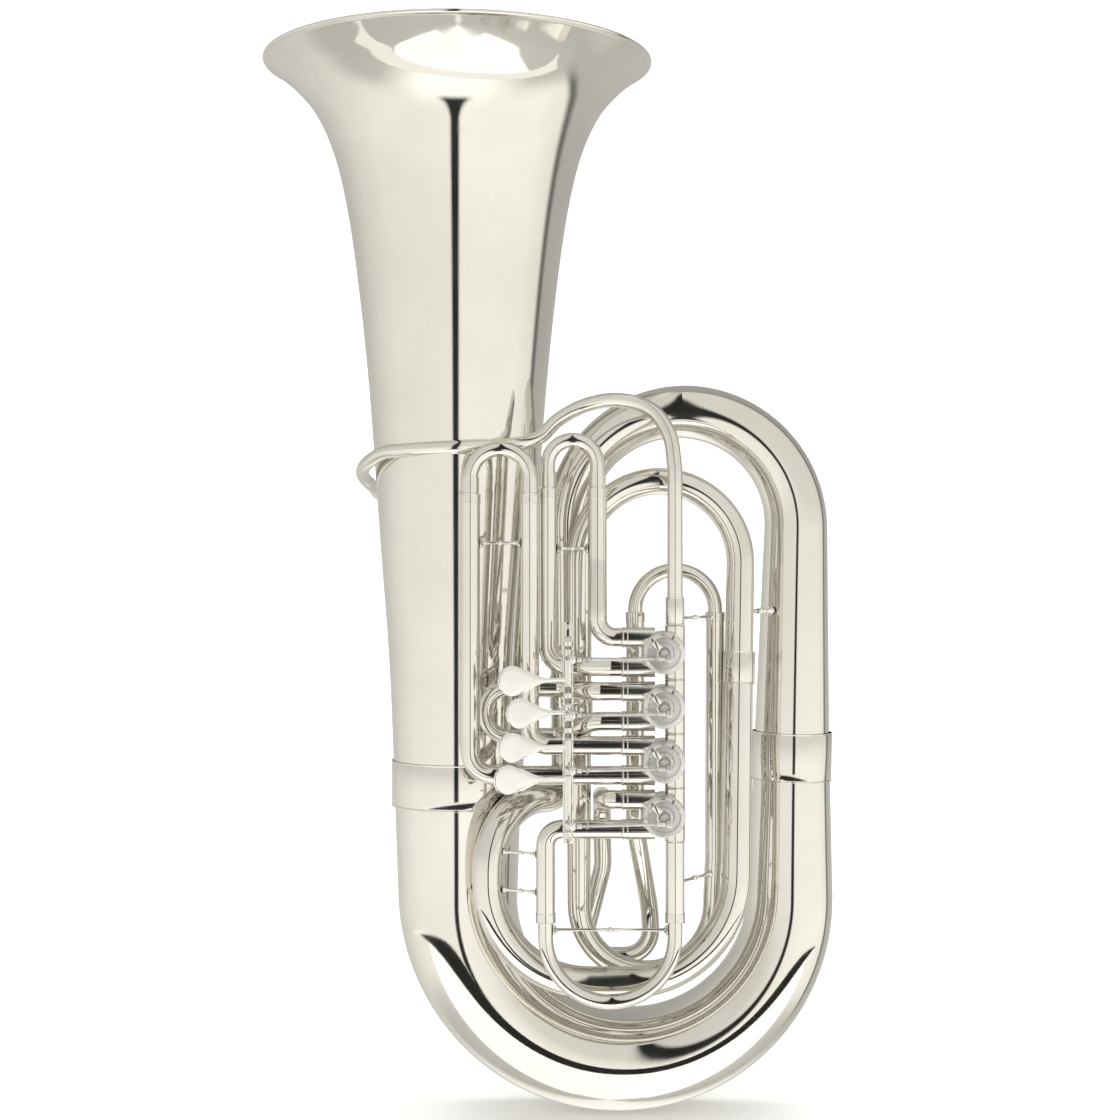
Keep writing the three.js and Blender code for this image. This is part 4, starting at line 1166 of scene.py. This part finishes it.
def lever_shape(i):
    """A barrel on the hinge, the touch, and an arm to the eye and pin that the link takes."""
    low, high = BARREL_SPAN[i]
    link_z = VALVE_Z[i] - LINK_DROP
    hinge = at(HINGE_X, HINGE_Y, low)
    length = high - low
    barrel = [(2.3, 0), (4.0, 0), (4.4, 0.4), (4.4, 1.8), (3.8, 2.4)]
    barrel += [(3.8, length - 2.4), (4.4, length - 1.8), (4.4, length - 0.4), (4.0, length), (2.3, length)]
    tip = at(TIP_X, TIP_Y, link_z)
    root = at(HINGE_X, HINGE_Y, link_z)
    along = (tip - root).normalized()
    arm = [(0, 0), (3.2, 3.0), (2.5, 6), (1.9, 12), (1.9, LEVER_ARM - 6), (2.4, LEVER_ARM - 3.4)]
    arm.append((0, LEVER_ARM - 2))
    eye = [(1.2, -3), (2.7, -3), (3.2, -2.3), (3.4, 0), (3.2, 2.3), (2.7, 3), (1.2, 3)]
    pin = [(0, -3.8), (1.7, -3.8), (2.0, -3.3), (1.1, -3.1), (1.1, 3.1), (2.0, 3.3), (1.7, 3.8), (0, 3.8)]
    return joined(
        lathe(hinge, UP, barrel, 36),
        lathe(root, along, arm, 24),
        lathe(tip, UP, eye, 28),
        lathe(tip, UP, pin, 20),
        paddle_shape(i),
    )


def link_shape(i):
    """A straight rod with a threaded neck and lock nut at each end, and a ball socket in front."""
    z = VALVE_Z[i] - LINK_DROP
    socket_y = PLATE_FRONT - 11
    pin_x = VALVE_X + CRANK_RADIUS * math.sqrt(0.5)
    start = at(TIP_X + 3.7, TIP_Y - 0.2, z)
    end = at(pin_x, socket_y - 2.6, z)
    length = (end - start).length
    rod = [(0, 0), (2.2, 0), (2.6, 0.5), (2.6, 4.4), (2.0, 5.0), (1.35, 5.6)]
    for k in range(THREAD_TURNS):
        rod += [(THREAD_ROOT, 6.0 + k), (THREAD_CREST, 6.4 + k)]
    rod += [(1.55, 16), (1.55, length - 22)]
    for k in range(THREAD_TURNS):
        rod += [(THREAD_ROOT, length - 21 + k), (THREAD_CREST, length - 20.6 + k)]
    rod += [(2.3, length - 11.6), (2.3, length - 4.4), (0, length - 3)]
    nut = [(0, 0), (2.7, 0), (2.9, 0.5), (2.9, 1.7), (2.7, 2.2), (0, 2.2)]
    nut_at = [start + (end - start).normalized() * place for place in (9.0, length - 13.5)]
    nuts = [lathe(spot, end - start, nut, 6) for spot in nut_at]
    socket = [(0, 0.2), (2.6, 0.2), (3.6, 0.8), (4.0, 2.0), (3.8, 3.4), (2.8, 4.4), (1.4, 4.9), (0, 5.0)]
    return joined(
        lathe(start, end - start, rod, 20),
        lathe(at(pin_x, socket_y, z), FRONT, socket, 36),
        torus(at(pin_x, socket_y - 4.3, z), FRONT, 2.3, 0.35, 28, 8),
        *nuts,
    )


for i in range(4):
    number = i + 1
    lever, link = f"lever_{number}", f"link_{number}"
    piece(lever + "_arm", lever_shape(i), BRIGHT, lever, (lever,), sharp=40)
    piece(link + "_rod", link_shape(i), STEEL, link, (link,))

hinge_low = at(HINGE_X, HINGE_Y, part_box("hinge_rod")[0][2] / MM)
hinge_high = at(HINGE_X, HINGE_Y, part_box("hinge_rod")[1][2] / MM)
shank = [(0, -1), (2.0, -1), (2.0, 0)]
knobs = [
    lathe(hinge_high, UP, [*shank, (3.4, 0.2), (3.6, 1.2), (2.8, 2.4), (0, 2.8)], 28),
    lathe(hinge_low, -UP, [*shank, (3.2, 0.2), (3.4, 1.6), (2.2, 2.4), (0, 2.6)], 28),
]
rod = lathe(hinge_low, UP, rounded(1.95, 0, (hinge_high - hinge_low).length, 0.3), 24)
piece("hinge_pin", joined(rod, *knobs), STEEL, stands_for=("hinge_rod",))

springs = []
for low, high in SPRING_SPAN:
    turns = max(2.0, (high - low) / 1.1)
    springs.append(coil(at(HINGE_X, HINGE_Y, low), UP, 3.0, 0.45, high - low, turns))
piece("lever_springs", joined(*springs), SPRING)

bar_back = VALVE_Y - SLEEVE_RADIUS - 0.5
bar_front = bar_back - 3
rack_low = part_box("lever_rack")[0][2] / MM
rack_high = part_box("lever_rack")[1][2] / MM


def rack_shape():
    """The upright lever carrier: a bevelled bar with bored lugs, screws and slotted ends."""
    eye = [(2.3, -2.5), (4.3, -2.5), (4.7, -2.1), (4.7, 2.1), (4.3, 2.5), (2.3, 2.5)]
    head = [(0, 0), (2.3, 0), (2.3, 0.5), (1.6, 1.1), (0, 1.3)]
    shapes = [slab(at(HINGE_X - 5, bar_front, rack_low), at(HINGE_X + 5, bar_back, rack_high), 0.8)]
    for z in LUG_Z:
        low, high = at(HINGE_X - 5, HINGE_Y + 3.4, z - 2.5), at(HINGE_X + 5, bar_front + 0.8, z + 2.5)
        shapes += [slab(low, high, 0.6), lathe(at(HINGE_X, HINGE_Y, z), UP, eye, 36)]
    for z in (rack_low + 4.5, *RACK_SCREW_Z, rack_high - 4.5):
        shapes.append(lathe(at(HINGE_X, bar_front, z), FRONT, head, 24))
    return joined(*shapes)


piece("lever_carrier", rack_shape(), SILVER, stands_for=("lever_rack",))

# ---- braces
def straight_brace(name, left, right, y, z, radius, body="body"):
    """A level brace between two upright tubes of one radius."""
    inset = radius + GAP
    brace(name, (left + inset, y), (right - inset, y), z, 1.8, 5, body)


straight_brace("third_brace", THIRD_LEFT_X, THIRD_RIGHT_X, VALVE_Y, THIRD_BRACE_Z, SLEEVE_RADIUS)
straight_brace("first_brace", FIRST_LEFT_X, FIRST_RIGHT_X, FIRST_Y, FIRST_BRACE_Z, SLEEVE_RADIUS)
fourth = (FOURTH_LEFT_X, PORT_X, VALVE_Y, FOURTH_BRACE_Z, TUBE_RADIUS)
straight_brace("fourth_brace", *fourth, "fourth_slide")
brace("outer_brace", (133.2, -43.4), (156.1, -23.4), OUTER_BRACE_Z, 2.2, 4.5)
brace("tuning_brace", (61.5, -101.6), (93.6, -53.1), TUNING_BRACE_Z, 1.8, 3.5)
brace("bell_brace", (-141, -69.5), (-138.5, -100.6), BELL_BRACE_Z, 3, 7)
brace("side_brace", (61.2, -102.1), (92.6, -54), SIDE_BRACE_Z, 1.8, 3.5)
brace("loop_brace_top", (-105.4, -91.4), (-74.6, -105.9), LOOP_BRACE_TOP_Z, 1.6, 3.6)
brace("loop_brace_low", (-105.4, -91.3), (-74.6, -105.9), LOOP_BRACE_LOW_Z, 1.6, 3.6)

low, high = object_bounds()
